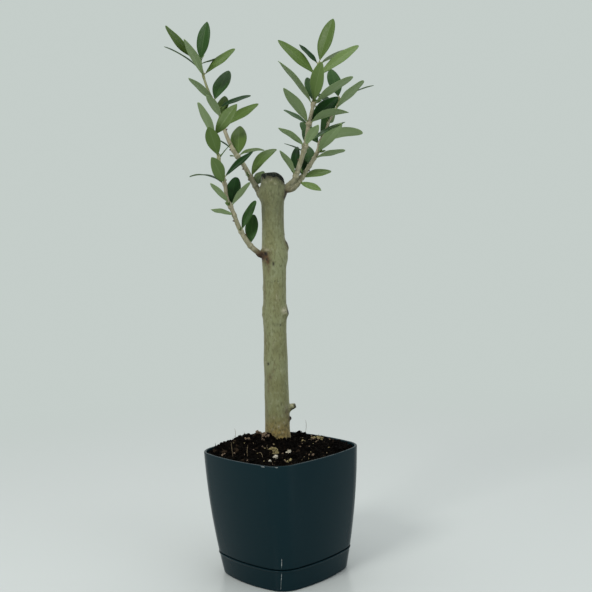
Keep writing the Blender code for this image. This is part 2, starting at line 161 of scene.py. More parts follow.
# Pale grains in the soil: place, spread, how many, smallest and largest radius, and finish.
GRAINS = (
    (-3.3, -39.8, 1.0, 1, 1.9, 2.0, 0), (6.8, -25.4, 3.0, 4, 0.9, 1.7, 0),
    (-6.0, -18.0, 5.0, 9, 0.8, 1.6, 1), (-2.0, -27.0, 4.0, 6, 0.6, 1.3, 1),
    (7.4, -50.0, 3.5, 4, 0.8, 1.5, 1), (-8.4, -49.0, 1.0, 2, 0.7, 1.1, 0),
    (21.0, 4.0, 3.0, 4, 0.9, 1.6, 1), (11.0, 22.0, 2.5, 3, 0.8, 1.4, 2),
    (-31.7, 18.9, 2.0, 2, 0.9, 1.5, 2), (-51.0, -20.0, 2.0, 3, 0.7, 1.2, 2),
    (35.0, 22.0, 5.5, 32, 0.5, 1.2, 1), (-20.0, 48.0, 6.5, 14, 0.9, 1.9, 2),
    (28.0, -34.0, 2.0, 2, 0.6, 1.1, 2), (0.0, 0.0, 52.0, 34, 0.3, 0.8, 2),
    (0.0, 0.0, 52.0, 22, 0.3, 0.7, 1), (-14.0, 3.0, 4.0, 12, 0.5, 1.1, 2),
    (35.0, 21.0, 6.0, 10, 0.5, 1.0, 2),
)
GRAIN_CRUMPLE = 0.13
GRAIN_RISE = 0.6

# Short peat fibres, and long pale ones as the points that they run through.
PEAT_FIBRES = 460
PEAT_FIBRE_RISE = (-0.1, 1.3)
PEAT_FIBRE_LENGTH = (1.8, 4.8)
PEAT_FIBRE_RADII = (0.12, 0.26)
PALE_SHARE = 0.10
FIBRES = (
    ((-42.2, -27.8, 113.0), (-42.6, -27.6, 118.0), (-43.0, -27.0, 122.5), (-43.4, -26.4, 126.5)),
    ((-28.5, -33.0, 113.0), (-29.0, -32.0, 119.0), (-28.0, -31.0, 125.0)),
    ((-44.7, 40.0, 115.0), (-44.2, 40.0, 121.0), (-45.0, 40.5, 126.0)),
    ((24.0, 45.0, 117.0), (25.0, 45.0, 124.0), (24.5, 46.0, 130.0)),
    ((-22.0, -24.0, 114.5), (-17.0, -30.0, 116.6), (-15.0, -38.0, 114.0)),
)
FIBRE_RADIUS = 0.17
FIBRE_SPACING = 0.8

# Trunk: its axis, its sway to the right and its radius at heights above the soil.
TRUNK_FOOT = Vector((-2.6, 14.0, 118.6))
TRUNK_TOP = Vector((3.3, 14.0, 368.0))
TRUNK_HEIGHT = 249.4
TRUNK_BOW = 0.9
TRUNK_SWAY = ((0, 0), (50, 0.8), (106, 0), (160, -0.9), (198, -1.75), (222, -1.3), (TRUNK_HEIGHT, 0))
TRUNK_ANGLES = np.linspace(0, 2 * math.pi, 132, endpoint=False)
TRUNK_LOBES = 0.035
TRUNK_RING = 0.65
TRUNK_SUNK = 5.0
TRUNK_RADII = (
    (0, 12.3), (4, 11.8), (9, 11.5), (22, 11.4), (38, 11.4), (54, 11.0), (64, 11.1), (74, 11.2),
    (84, 10.9), (103, 10.7), (112, 11.1), (118, 11.3), (132, 11.0), (146, 10.8), (158, 11.1),
    (167, 11.6), (176, 11.8), (186, 11.0), (204, 10.4), (219, 10.5), (227, 11.1), (240, 11.2),
    (244, 10.8), (247, 10.4), (248.4, 10.2), (249.0, 9.6), (TRUNK_HEIGHT, 8.5),
)
MEAN_RADIUS = 11.0
TRUNK_EASED_TO = 244.0
TRUNK_FINE_FROM = 246.0
TRUNK_FINE_RING = 0.25
TOP_SLOPE = 5.2
TOP_SLOPE_SPAN = (1.5, 10.3)
TOP_SLOPE_FROM = 236.0
RIDGE_RELIEF = 0.14
SWELL_RELIEF = 0.28
LENTICELS = 240
LENTICEL_SPAN = (4, 244)
LENTICEL_SIZE = (0.5, 1.0)
LENTICEL_RISE = 0.2

# Swellings of the bark: height, turn from the right of the view towards the back, reach, spread, and depth
# of the scar in the middle.
SWELLINGS = (
    (29, 2, 1.6, 5.0, 0.0), (19, -8, 1.0, 3.2, 0.0), (120, -12, 1.2, 7.5, 0.0), (121, 176, 0.8, 7.5, 0.3),
    (182, 4, 2.0, 6.0, 0.0), (173, 4, 1.4, 11.0, 0.0), (175, 206, 2.2, 5.5, 0.9), (231, 182, 2.4, 8.5, 0.0),
    (232, -4, 2.2, 9.0, 0.0), (205, -60, 0.5, 6.0, 0.0), (92, -88, 0.4, 9.0, 0.0), (60, -60, 0.4, 8.0, 0.0),
    (143, 150, 1.0, 6.0, 0.4), (70, 95, 1.2, 5.5, 0.5), (190, 80, 1.1, 6.0, 0.4),
)

# Pits in the bark: height, turn, radius and depth.
PITS = (
    (175, -134, 1.5, 1.1), (172, -160, 1.6, 0.5), (165.5, -94, 0.8, 0.5), (72.5, -130, 1.2, 0.8),
    (118.5, 2, 1.3, 0.5), (232, -18, 1.6, 0.7), (169.5, -128, 1.2, 0.4),
)

# Rough callus on the bark: height, turn, radius and relief.
CALLUS = ((174, -152, 5.5, 0.9), (230, -8, 4.5, 0.6), (28, -20, 5.0, 0.5), (120, -12, 4.0, 0.4))

# Cut stubs: height, turn, reach past the bark, radius at the bark, radius at the end, rise in degrees, and
# how high above its root the stub is cut off level.
STUBS = (
    (29.4, 0, 6.6, 3.5, 2.2, 18, 3.7), (19.4, -4, 2.0, 1.8, 1.3, 6, 9.0), (120, -20, 1.5, 4.2, 2.8, 12, 9.0),
)
STUB_SUNK = 3.0
STUB_SIDES = 28
STUB_RING = 0.4

# Bark: the layers of noise over its base colour, as colour, size, detail, stretch, span and, where it isn't
# full, strength.
BARK_BASE = (0.168, 0.172, 0.076)
BARK_LAYERS = (
    ((0.205, 0.222, 0.112), 15, 3.0, 2.2, 0.36, 0.64),
    ((0.295, 0.315, 0.200), 3.0, 5.0, 1.6, 0.50, 0.72, 0.4),
    ((0.088, 0.088, 0.034), 1.6, 5.0, 2.4, 0.48, 0.66, 0.52),
)

# Tones that lie over the bark: colour, and the share of it that their mottling goes down to. The scar and
# stain tones also carry painted shadow under the right bough's root, and the scar tone painted shade under
# the first stub.
BARK_TONES = (
    ("trunk", (0.175, 0.180, 0.090), 0.85), ("weather", (0.075, 0.078, 0.036), 0.42),
    ("earth", (0.225, 0.165, 0.050), 0.42), ("stain_and_shadow", (0.098, 0.054, 0.022), 0.42),
    ("pale", (0.400, 0.380, 0.260), 0.42), ("scar", (0.014, 0.009, 0.006), 0.42),
)
EARTHY = (5.0, 30.0)
WEATHERED = (180.0, 215.0)
MOST_WEATHERED = 0.38
SMEARED = (10.5, 5.0)
SMEAR_RAGGED = 3.0
MOST_SMEARED = 0.75
DIRTY = (4.5, 1.5)
DIRT_RAGGED = 2.4
MOST_DIRTY = 0.8

# Marks by tone: height, turn, radius, how many times taller than wide, and strength.
MARK_REACH = 1.5
MARKS = {
    "scar": (
        (175, -128, 1.6, 1.0, 1.6), (173.0, -164, 3.2, 1.0, 0.9), (170, -124, 1.2, 0.9, 1.0),
        (173.5, -147, 2.9, 1.3, 0.75), (165.5, -92, 1.0, 2.0, 1.0), (149.5, -86, 0.8, 0.5, 0.8),
        (149, -70, 0.8, 0.5, 0.8), (163, -56, 0.7, 1.0, 0.6), (191, -50, 0.7, 1.0, 0.4),
        (183, -12, 1.0, 4.0, 0.8), (119.5, -12, 1.5, 1.6, 1.0), (115, -26, 0.9, 2.2, 0.5),
        (108.5, -62, 0.8, 1.3, 0.9), (109, -82, 3.0, 0.6, 0.22), (72.5, -130, 1.6, 0.9, 1.0),
        (60.5, -122, 1.0, 1.5, 0.35), (86.5, -86, 2.2, 1.3, 0.2), (26.5, -46, 0.8, 1.5, 0.5),
        (34.5, -67, 0.7, 2.4, 0.35), (12, -96, 0.9, 0.9, 0.5), (6.5, -76, 0.9, 0.9, 0.45),
        # The first two marks on the next line are painted shadow under the right bough's root.
        (230.0, -16, 1.8, 1.4, 0.9), (226.5, -14, 2.4, 0.7, 1.3), (200, -120, 0.6, 1.0, 0.3),
        (95, -40, 0.6, 1.0, 0.4), (19.4, -3, 3.0, 1.0, 1.4), (120.0, -7, 2.8, 1.6, 1.7),
        (172, -176, 2.6, 1.0, 0.8), (242.5, -62, 1.5, 0.9, 0.5), (240, -32, 1.9, 1.3, 0.55),
        (242.5, -112, 1.4, 0.8, 0.5), (239, -142, 1.2, 1.4, 0.4), (237.5, -96, 1.0, 0.9, 0.35),
        (236, -52, 1.3, 1.3, 0.4), (233, -24, 1.3, 1.6, 0.45), (7, -108, 1.3, 0.8, 0.5),
        (11, -66, 1.4, 0.7, 0.45), (4, -92, 1.6, 0.8, 0.5), (17.5, -98, 1.0, 0.8, 0.35),
        (14, -44, 1.3, 1.0, 0.4),
    ),
    "stain_and_shadow": (
        (173, -146, 4.8, 1.1, 1.5), (172.5, -128, 4.2, 1.1, 1.2), (168.5, -120, 3.4, 1.4, 1.1),
        (175, -112, 2.4, 0.8, 0.7), (162, -116, 2.4, 2.6, 0.55), (72, -94, 1.8, 1.0, 0.35),
        (66.5, -104, 2.0, 1.4, 0.35), (60.5, -122, 2.6, 1.5, 0.45), (53, -134, 2.2, 5.0, 0.35),
        # The first mark on the next line is painted shadow under the right bough's root.
        (230, -10, 3.4, 1.2, 0.8), (184, -6, 1.8, 3.4, 0.6), (27, -34, 3.0, 1.4, 0.5),
        (22, -14, 3.0, 1.3, 0.6), (115, 0, 2.2, 1.2, 0.5), (143, -150, 2.0, 9.0, 0.35),
        (98, -152, 2.0, 9.0, 0.35), (60, -156, 2.0, 7.0, 0.35), (124, -8, 3.4, 1.0, 0.35),
        (30, -150, 2.4, 5.0, 0.3),
    ),
    "pale": (
        (121.8, -42, 2.6, 1.0, 1.3), (135.5, -80, 0.5, 7.0, 0.45), (132, -72, 0.4, 5.0, 0.35),
        (242.5, -97, 1.5, 0.9, 0.55), (239, -76, 1.6, 0.8, 0.35), (240.5, -124, 1.4, 0.8, 0.4),
        (178.5, -120, 2.6, 0.5, 0.6), (181, -142, 2.4, 0.5, 0.5), (74, -150, 1.2, 1.0, 0.5),
        (14, -82, 1.3, 1.1, 0.6), (11.5, -112, 1.2, 1.0, 0.45), (17, -54, 1.3, 1.0, 0.45),
        (22.5, -104, 1.2, 1.0, 0.45), (8, -64, 1.1, 1.0, 0.4), (31, -38, 2.6, 1.0, 0.35),
        (90, -100, 0.5, 6.0, 0.3),
    ),
}

# Sealing paste over the sawn top: how far it runs down the bark, how thick it lies, and where it runs
# further down: turn, how much further, and spread in degrees.
PASTE_RUN = 3.4
PASTE_RAGGED = 1.1
PASTE_LEAST = 2.2
PASTE_DEEPEST = 8.0
PASTE_THICK = 0.35
PASTE_RINGS = 26
PASTE_LEVELS = 53
PASTE_TEARS = (
    (-131, 2.6, 13), (-84, 2.4, 15), (-48, 2.6, 12), (-24, 3.4, 14), (0, 4.4, 16), (48, 2.0, 20),
    (84, 3.0, 12), (122, 1.4, 10), (160, 3.0, 15),
)
PASTE_CROWN = ((0.06, 0.12), (0.2, 0.2), (0.4, 0.2), (0.6, 0.2), (0.8, 0.2))

# Shoots: the way each one runs, its radii at the foot and at the tip, how far up it is a bare bough, how the
# bough flares at its root, and where the next mass of leaves begins.
LIMB_SIDES = 20
TWIG_SIDES = 14
RING_SPACING = 0.7
SHOOTS = {
    "left_low": {
        "path": ((-11, 8, 293), (-21, 3, 303), (-29, -1, 318), (-34, -3, 333), (-39, -5, 346),
                 (-40, -6, 358), (-44, -8, 380), (-48, -9.5, 402)),
        "radii": (2.6, 1.0),
        "bough": 10,
        "flare": (0.12, 2.4),
    },
    "left_high": {
        "path": ((-8.0, 14, 348), (-15, 17, 360), (-24, 20, 378), (-33, 22, 392), (-40, 24, 410),
                 (-45.5, 25, 430), (-52, 24, 443), (-57, 22, 459), (-60, 20, 476)),
        "radii": (2.6, 0.9),
        "bough": 10,
        "flare": (0.45, 4.0),
        "split": 82,
    },
    "right_front": {
        "path": ((24.3, 9.3, 363.2), (30, 6, 378), (35, 4, 393), (38, 2, 408), (43, 1, 427), (46, 2, 446),
                 (50, 4, 465)),
        "radii": (2.5, 1.0),
        "split": 59.5,
    },
    "right_rear": {
        "path": ((26.5, 12.5, 358), (36, 17, 371), (45, 22, 385), (49, 26, 396), (57, 30, 414),
                 (66, 33, 429), (69, 34, 439)),
        "radii": (2.3, 0.9),
    },
}
BOUGH_SUNK = 9.0
TRUNK_TINT_REACH = (0.5, 9.0)
ROOT_TRUNK_SHARE = 0.3
RIGHT_BOUGH = ((11.5, 13.2, 349.8), (16.1, 12.4, 354.6))
RIGHT_FORK = ((14.5, 12.8, 351.8), (20.3, 12.8, 352.6))
RIGHT_CROTCH = ((16.0, 12.4, 353.0), (20.5, 12.2, 356.0), (24.8, 11.8, 360.2))
RIGHT_FLARE = (0.35, 2.4)
RUN_INTO_SHOOT = 3.0
RIGHT_BOUGH_RADII = (2.9, 2.6)
JOINT_OVERLAP = 0.8
BOUGH_ROUGHNESS = 0.12
FORK_ROUGHNESS = 0.09
TWIG_ROUGHNESS = 0.05
NODE_SWELL = 0.24
NODE_SPREAD = 1.3
OLDER_BARK_TO = 0.38
BARK_TO = 0.8

# Dark scars of shed side shoots: distance along the shoot, and bearing from straight up towards +X.
BUD_SCARS = {
    "left_low": ((24, 60), (40, -110)),
    "left_high": ((18, -70), (30, -100), (35, -75), (52, -95), (71, 50), (73, -60)),
    "right_front": ((15.5, -80), (37.5, 95)),
    "right_rear": ((15, 100), (41, 110)),
}

# Leaves of each shoot: distance along the shoot, bearing of the tip from straight up towards +X, lean
# towards the front, length, turn of the blade (0 its top faces the front, 90 edge on, 180 its underside
# does), the angle through which it arches, and its tint; the tints follow the leaves' ages, and the darkest
# is darkened in part as painted shade, for leaves that lie in shade.
OLD_AND_SHADED, DEEP, MATURE, YOUNG = range(4)
AGE_AND_SHADE_TINTS = 4
LEAVES = {
    "left_low": (
        (13, 6, -30, 34, 15, 12, DEEP), (29, 26, -22, 34, 45, 12, DEEP), (45, -75, 35, 25, 120, 12, YOUNG),
        (53, 42, 20, 30, 118, 12, MATURE), (54, 10, -36, 35, 5, 10, OLD_AND_SHADED), (56, -39, 36, 29, 126, 8, YOUNG),
        (74, -74, -15, 37, 80, 60, OLD_AND_SHADED), (75, -22, 45, 33, 26, 12, YOUNG), (80, 49, -12, 37, 58, 14, OLD_AND_SHADED),
        (98, 36, -36, 23, 80, 6, DEEP), (99, -13, 45, 35, 175, 14, DEEP),
        (111, -19, 30, 42, 122, 14, MATURE), (118, 38, 0, 36, 20, 10, MATURE),
    ),
    "left_high": (
        (10.6, 24, -52, 28, 5, 10, MATURE), (19, 42, -16, 41, 42, 72, MATURE),
        (44, 76, -28, 30, 62, 40, MATURE), (43, 2, -39, 42, 3, 10, MATURE), (51, -52, -22, 24, 80, 8, OLD_AND_SHADED),
        (75, 58, -8, 40, 42, 14, MATURE), (83, -28, 40, 29, 136, 10, MATURE),
        (84, 8, -38, 30, 10, 10, MATURE), (93, 67, -20, 36, 60, 14, OLD_AND_SHADED), (98, -46, 38, 37, 118, 16, MATURE),
        (100, 22, -34, 44, 25, 10, DEEP), (105, -39, -42, 24, 52, 10, OLD_AND_SHADED),
        (124, -25, 42, 43, 125, 10, MATURE), (126, 50, -11, 40, 46, 10, MATURE),
        (130, -55, 0, 42, 82, 22, OLD_AND_SHADED), (137, 66, -45, 27, 79, 8, OLD_AND_SHADED), (138, 12, 0, 38, 20, 14, DEEP),
        (139, -42, 0, 46, -60, 18, MATURE),
    ),
    "right_front": (
        (0.5, -31, 32, 31, 120, 20, MATURE), (4.5, 2, -36, 32, -40, 30, OLD_AND_SHADED),
        (24.5, -61, -34, 24, 76, 8, OLD_AND_SHADED), (28.5, -56, 33, 34, 112, 24, YOUNG),
        (29.5, -4, -52, 28, 59, 10, DEEP), (29, 37, 45, 29, 139, 12, YOUNG),
        (31.5, 62, -14, 44, 69, 14, DEEP), (48.5, -52, -26, 31, 60, 12, DEEP),
        (49.5, -37, 35, 44, 124, 12, MATURE), (49.5, 81, 30, 43, 111, 55, MATURE),
        (50.5, 48, -20, 40, 25, 10, OLD_AND_SHADED), (66.5, -39, 24, 52, 100, 16, MATURE),
        (67.5, 62, 32, 47, 109, 12, MATURE), (68.5, 15, 40, 42, 38, 14, YOUNG),
        (69.5, -8, -36, 33, 26, 10, DEEP), (93.5, -45, 0, 48, 43, 12, MATURE),
        (92.5, 57, 8, 47, 50, 12, YOUNG), (104.5, -40, -12, 27, 50, 8, OLD_AND_SHADED),
        (104.5, 63, -18, 39, 62, 14, MATURE), (105.5, 20, 0, 43, 30, 14, MATURE),
    ),
    "right_rear": (
        (1, 116, 30, 26, 40, 14, YOUNG), (5.5, 77, -26, 33, 42, 24, YOUNG), (7, 4, -50, 34, 14, 8, OLD_AND_SHADED),
        (20, -4, -50, 36, 10, 8, DEEP), (29, 81, 30, 33, 108, 10, MATURE), (34, 43, 22, 38, 140, 14, YOUNG),
        (44, -34, -28, 33, 22, 10, DEEP), (46, 78, -15, 46, 118, 60, YOUNG), (47, 14, -5, 38, 46, 10, DEEP),
        (53, 15, -10, 18, 40, 10, DEEP), (66, 23, -52, 32, 50, 10, MATURE),
        (66, -22, -46, 34, 46, 10, MATURE), (82, 50, 38, 42, 117, 10, MATURE),
        (82, -36, -44, 36, 49, 12, OLD_AND_SHADED), (92, 70, 0, 36, 83, 16, OLD_AND_SHADED), (93, -10, -30, 38, 20, 10, DEEP),
    ),
}
LEAF_LENGTH_TO_WIDTH = 3.1
LEAF_PLUMP = 0.17
LEAF_ACROSS = (-1.0, -0.95, -0.83, -0.64, -0.42, -0.2, -0.06, 0.06, 0.2, 0.42, 0.64, 0.83, 0.95, 1.0)
RIB_STRIP = 6
LEAF_STEPS = 24
SMALL_LEAF_STEPS = 12
FULL_LEAF = 26.0
LEAF_FOLD = 0.17
LEAF_THIN = 0.12
LEAF_THICK = 0.30
LEAF_CURL = 0.10
CURL_FROM = 0.7
TOP_GROOVE = (0.20, 0.5)
UNDER_RIB = (0.42, 0.42)
PETIOLE = 0.09
PETIOLE_RADIUS = 0.55
PETIOLE_SIDES = 8

# Looks of the leaves by tint, from the darkest to the palest: tints of the top, its midrib, the underside
# and its midrib, and the top's shine. The tints follow the leaves' ages, and the darkest is darkened in part
# as painted shade. The parts of a leaf have a roughness, and a shine where it isn't the top's.
LEAF_LOOKS = (
    ("old and shaded", (0.008, 0.033, 0.006), (0.014, 0.046, 0.010),
     (0.090, 0.140, 0.050), (0.110, 0.160, 0.065), 0.06),
    ("deep", (0.027, 0.070, 0.016), (0.042, 0.092, 0.024),
     (0.115, 0.182, 0.050), (0.135, 0.205, 0.070), 0.09),
    ("mature", (0.077, 0.130, 0.028), (0.100, 0.160, 0.046),
     (0.212, 0.286, 0.136), (0.238, 0.312, 0.162), 0.14),
    ("young", (0.118, 0.184, 0.056), (0.150, 0.220, 0.078),
     (0.240, 0.325, 0.150), (0.266, 0.350, 0.180), 0.16),
)
LEAF_PARTS = (("leaf top", 0.42, 0), ("top midrib", 0.45, 0), ("leaf underside", 0.6, 0.12),
              ("underside midrib", 0.6, 0.12))
PETIOLE_TINT = (0.215, 0.240, 0.095)

# Side twigs in the axils, each with one pair of small leaves, and buds.
SIDE_TWIG_CHANCE = 0.25
SIDE_TWIG_LENGTH = (2.2, 4.0)
SIDE_TWIG_RADIUS = 0.6
SMALL_LEAF = (4.5, 8.0)
SMALL_LEAF_FACING = (20, 70)
BUD_LENGTH = 1.7
BUD_RADIUS = 0.55
BUD_PROFILE = ((0.0, 0.55), (0.2, 0.95), (0.42, 1.0), (0.64, 0.78), (0.84, 0.42))

# Numbers of the finishes of the twigs.
GREEN_TWIG, BUD_SCALE, BUD_SCAR = 2, 3, 4


class Nodes:
    """A tree of shader nodes that is built up by short calls."""

    def __init__(self, tree):
        self.tree = tree

    def put(self, value, socket):
        if isinstance(value, bpy.types.NodeSocket):
            self.tree.links.new(value, socket)
        else:
            socket.default_value = (*value, 1.0) if socket.type == "RGBA" else value

    def add(self, kind, output, inputs, **settings):
        """Adds a node with its inputs and settings, and gives one of its outputs."""
        node = self.tree.nodes.new(f"ShaderNode{kind}")
        for name, setting in settings.items():
            setattr(node, name, setting)
        for socket, value in inputs.items():
            self.put(value, node.inputs[socket])
        return node.outputs[output]

    def spread(self, value, low, high, first=0.0, last=1.0):
        """Maps a value that runs from low to high smoothly to one that runs from first to last."""
        ends = {"From Min": low, "From Max": high, "To Min": first, "To Max": last}
        return self.add("MapRange", "Result", {"Value": value, **ends}, interpolation_type="SMOOTHSTEP")

    def blend(self, share, first, second):
        return self.add("Mix", 2, {0: share, 6: first, 7: second}, data_type="RGBA")


class Finish(Nodes):
    """A material whose textures follow the piece's own coordinates in metres."""

    def __init__(self, name, colour, roughness, shine):
        self.material = bpy.data.materials.new(name)
        self.material.use_nodes = True
        super().__init__(self.material.node_tree)
        self.shader = self.tree.nodes["Principled BSDF"]
        self.look("Base Color", colour)
        self.look("Roughness", roughness)
        self.look("Specular IOR Level", shine)
        self.place = self.add("TexCoord", "Object", {})

    def look(self, name, value):
        self.put(value, self.shader.inputs[name])

    def stretched(self, along):
        """Coordinates squeezed along Z, so that a texture's features are longer that way."""
        return self.add("Mapping", "Vector", {"Vector": self.place, "Scale": (1.0, 1.0, 1.0 / along)})

    def noise(self, size, detail=3.0, along=1.0):
        """Soft noise whose features are about size millimetres wide."""
        inputs = {"Vector": self.stretched(along), "Scale": 1.0 / (size * MM), "Detail": detail}
        return self.add("TexNoise", "Fac", inputs)

    def laid(self, tint, colour, size, detail, along, low, high, strength=1.0):
        """A colour laid over a tint where noise is high."""
        share = self.spread(self.noise(size, detail, along), low, high, 0.0, strength)
        return self.blend(share, tint, colour)

    def dotted(self, tint, colour, size, along, low, high):
        """Dots of a colour on a tint, about size millimetres apart."""
        inputs = {"Vector": self.stretched(along), "Scale": 1.0 / (size * MM)}
        away = self.add("TexVoronoi", "Distance", inputs)
        return self.blend(self.spread(away, low, high, 0.5, 0.0), tint, colour)

    def toned(self, tint):
        """Lays the marks of the bark over a tint, each in a mottled colour."""
        mottle = self.spread(self.noise(1.5, 4.0, 1.4), 0.44, 0.64)
        for name, colour, darkest in BARK_TONES:
            darker = tuple(darkest * part for part in colour)
            tone = self.add("Attribute", "Fac", {}, attribute_name=name)
            tint = self.blend(tone, tint, self.blend(mottle, colour, darker))
        return tint

    def bump(self, reach, *texture):
        """Adds relief of noise, reach millimetres high."""
        inputs = {"Height": self.noise(*texture), "Distance": reach * MM}
        self.look("Normal", self.add("Bump", "Normal", inputs))


def pot_finish():
    made = Finish("satin plastic", (0.004, 0.018, 0.023), 0.24, 0.09)
    tint = made.blend(made.noise(60, 1.0), (0.0038, 0.0168, 0.0220), (0.0048, 0.0192, 0.0250))
    made.look("Base Color", tint)
    made.look("Roughness", made.spread(made.noise(30, 2.0), 0.3, 0.7, 0.21, 0.27))
    return made.material


# Pale plastic of the painted highlights on the pot.
def glint_finish():
    made = Finish("painted glint plastic", (0.10, 0.13, 0.13), 0.4, 0.3)
    made.look("Base Color", made.laid((0.07, 0.10, 0.105), (0.36, 0.40, 0.40), 3.0, 3.0, 1.0, 0.4, 0.6))
    return made.material


def peat_finish(name, dark, light, size):
    made = Finish(name, dark, 0.95, 0.03)
    made.look("Base Color", made.laid(dark, light, size, 5.0, 1.0, 0.42, 0.72))
    made.bump(0.35, 0.7, 4.0)
    return made.material


def grain_finish(name, colour, dirt, size):
    made = Finish(name, colour, 0.8, 0.2)
    made.look("Base Color", made.laid(colour, dirt, size, 4.0, 1.0, 0.45, 0.7))
    made.bump(0.2, 0.5, 3.0)
    return made.material


def bark_finish():
    made = Finish("smooth bark", (0.2, 0.2, 0.12), 0.75, 0.25)
    tint = BARK_BASE
    for layer in BARK_LAYERS:
        tint = made.laid(tint, *layer)
    tint = made.dotted(tint, (0.28, 0.255, 0.16), 3.6, 0.9, 0.08, 0.18)
    made.look("Base Color", made.toned(tint))
    made.look("Sheen Weight", 0.18)
    made.bump(0.16, 1.1, 5.0, 4.0)
    return made.material


def young_bark_finish(name, first, second, size=2.4):
    made = Finish(name, first, 0.65, 0.25)
    tint = made.laid(first, second, size, 4.0, 3.0, 0.36, 0.66)
    tint = made.dotted(tint, (0.42, 0.38, 0.28), 1.7, 1.3, 0.06, 0.15)
    made.look("Base Color", made.toned(tint))
    made.bump(0.10, 0.8, 4.0, 4.0)
    return made.material


def paste_finish():
    made = Finish("sealing paste", (0.02, 0.022, 0.022), 0.75, 0.12)
    tint = made.laid((0.008, 0.011, 0.009), (0.042, 0.048, 0.036), 3.0, 4.0, 1.0, 0.46, 0.66)
    made.look("Base Color", made.laid(tint, (0.11, 0.105, 0.07), 1.1, 3.0, 1.0, 0.60, 0.74, 0.5))
    made.bump(0.3, 1.0, 4.0)
    return made.material


def leaf_finish(name, colour, roughness, shine):
    made = Finish(name, colour, roughness, shine)
    rough = made.spread(made.noise(2.5, 2.0), 0.3, 0.7, roughness - 0.05, roughness + 0.05)
    made.look("Roughness", rough)
    made.bump(0.04, 1.6, 2.0)
    return made.material


def put_in_scene(name, data):
    made = bpy.data.objects.new(name, data)
    bpy.context.scene.collection.objects.link(made)
    return made


class Shape:
    """A piece in the making: points in millimetres, and faces that each have the number of a finish."""

    def __init__(self):
        self.points = []
        self.faces = []
        self.kinds = []
        self.total = 0

    def add(self, points, faces, kinds):
        self.points.append(np.asarray(points, float))
        self.faces.extend((np.asarray(faces) + self.total).tolist())
        self.kinds.extend(np.broadcast_to(kinds, len(faces)).tolist())
        self.total += len(points)

    def loft(self, rings, kinds=0, foot=None, tip=None):
        """Skins a closed tube over rings of points, whose ends meet at their middle or at a given point."""
        rings = np.asarray(rings, float)
        count, sides = rings.shape[:2]
        kinds = np.broadcast_to(kinds, (count - 1, sides))
        here = np.arange(sides)
        there = (here + 1) % sides
        row = np.arange(count - 1)[:, None] * sides
        quads = np.stack([row + here, row + there, row + sides + there, row + sides + here], axis=-1)
        ends = [rings[0].mean(0) if foot is None else foot, rings[-1].mean(0) if tip is None else tip]
        points = np.vstack([rings.reshape(-1, 3), ends])
        start = self.total
        self.add(points, quads.reshape(-1, 4), kinds.ravel())
        middle = start + count * sides
        last = start + (count - 1) * sides
        fans = ((start + there, start + here, middle), (last + here, last + there, middle + 1))
        for first, second, end in fans:
            self.faces.extend(np.stack([first, second, np.full(sides, end)], axis=-1).tolist())
        self.kinds.extend(kinds[0].tolist() + kinds[-1].tolist())

    def piece(self, name, finishes, slot, nodes=(), smooth=40.0):
        """Makes the piece, which rides with the plant and stands for the named nodes."""
        mesh = bpy.data.meshes.new(name)
        mesh.from_pydata((np.concatenate(self.points) * MM).tolist(), [], self.faces)
        for finish in finishes:
            mesh.materials.append(finish)
        mesh.polygons.foreach_set("material_index", self.kinds)
        bm = bmesh.new()
        bm.from_mesh(mesh)
        bmesh.ops.recalc_face_normals(bm, faces=bm.faces)
        bm.to_mesh(mesh)
        bm.free()
        mesh.shade_smooth()
        mesh.set_sharp_from_angle(angle=math.radians(smooth))
        made = put_in_scene(name, mesh)
        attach(made, "root")
        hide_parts(*nodes)
        return made


def smooth_path(points, spacing=1.0):
    """Evenly spaced points along a smooth curve through the given ones."""
    knots = [Vector(point) for point in points]
    knots = [2 * knots[0] - knots[1], *knots, 2 * knots[-1] - knots[-2]]
    dense = []
    for a, b, c, d in zip(knots, knots[1:], knots[2:], knots[3:]):
        for step in range(24):
            t = step / 24
            dense.append(0.5 * (2 * b + (c - a) * t + (2 * a - 5 * b + 4 * c - d) * t**2
                                + (3 * b - a - 3 * c + d) * t**3))
    dense.append(knots[-2])
    even = [dense[0]]
    walked = 0.0
    for here, there in zip(dense, dense[1:]):
        span = (there - here).length
        while walked + span >= spacing * len(even):
            even.append(here.lerp(there, (spacing * len(even) - walked) / span))
        walked += span
    return even


def on_path(path, distance):
    """Point and direction on a path of points a millimetre apart, which runs straight on past its ends."""
    index = max(0, min(len(path) - 2, int(distance)))
    step = path[index + 1] - path[index]
    return path[index] + step * (distance - index), step.normalized()


def circle(angles, radius=1.0, height=0.0):
    """Points at angles round the Z axis."""
    parts = np.broadcast_arrays(radius * np.cos(angles), radius * np.sin(angles), height)
    return np.stack(parts, axis=-1)


def ring_round(centre, direction, radius, sides):
    """Points round a limb's axis."""
    turn = np.array(Vector((0, 0, 1)).rotation_difference(direction).to_matrix())
    return circle(np.arange(sides) * 2 * math.pi / sides, radius) @ turn.T + np.array(centre)


def thin_tube(shape, points, radius, sides, kind):
    """A fibre or line along a smooth curve, thinner at both ends."""
    path = smooth_path(points, FIBRE_SPACING)
    rings = []
    for index, centre in enumerate(path):
        way = (path[min(index + 1, len(path) - 1)] - path[max(index - 1, 0)]).normalized()
        thin = radius * (1 - 0.55 * (2 * index / (len(path) - 1) - 1) ** 2)
        rings.append(ring_round(centre, way, thin, sides))
    shape.loft(rings, kind)


def noise_at(points, size, octaves=1):
    """Smooth noise of about -1 to 1 at points, with features of that size."""
    if octaves == 1:
        return np.array([noise.noise(Vector(point) / size) for point in points])
    return np.array([noise.fractal(Vector(point) / size, 1.0, 2.0, octaves) for point in points])


def smoothstep(low, high, value):
    t = np.clip((value - low) / (high - low), 0.0, 1.0)
    return t * t * (3 - 2 * t)


def fading(apart, size):
    """A share that is one at no distance apart and fades to nothing past that size."""
    return np.exp(-((apart / size) ** 2))


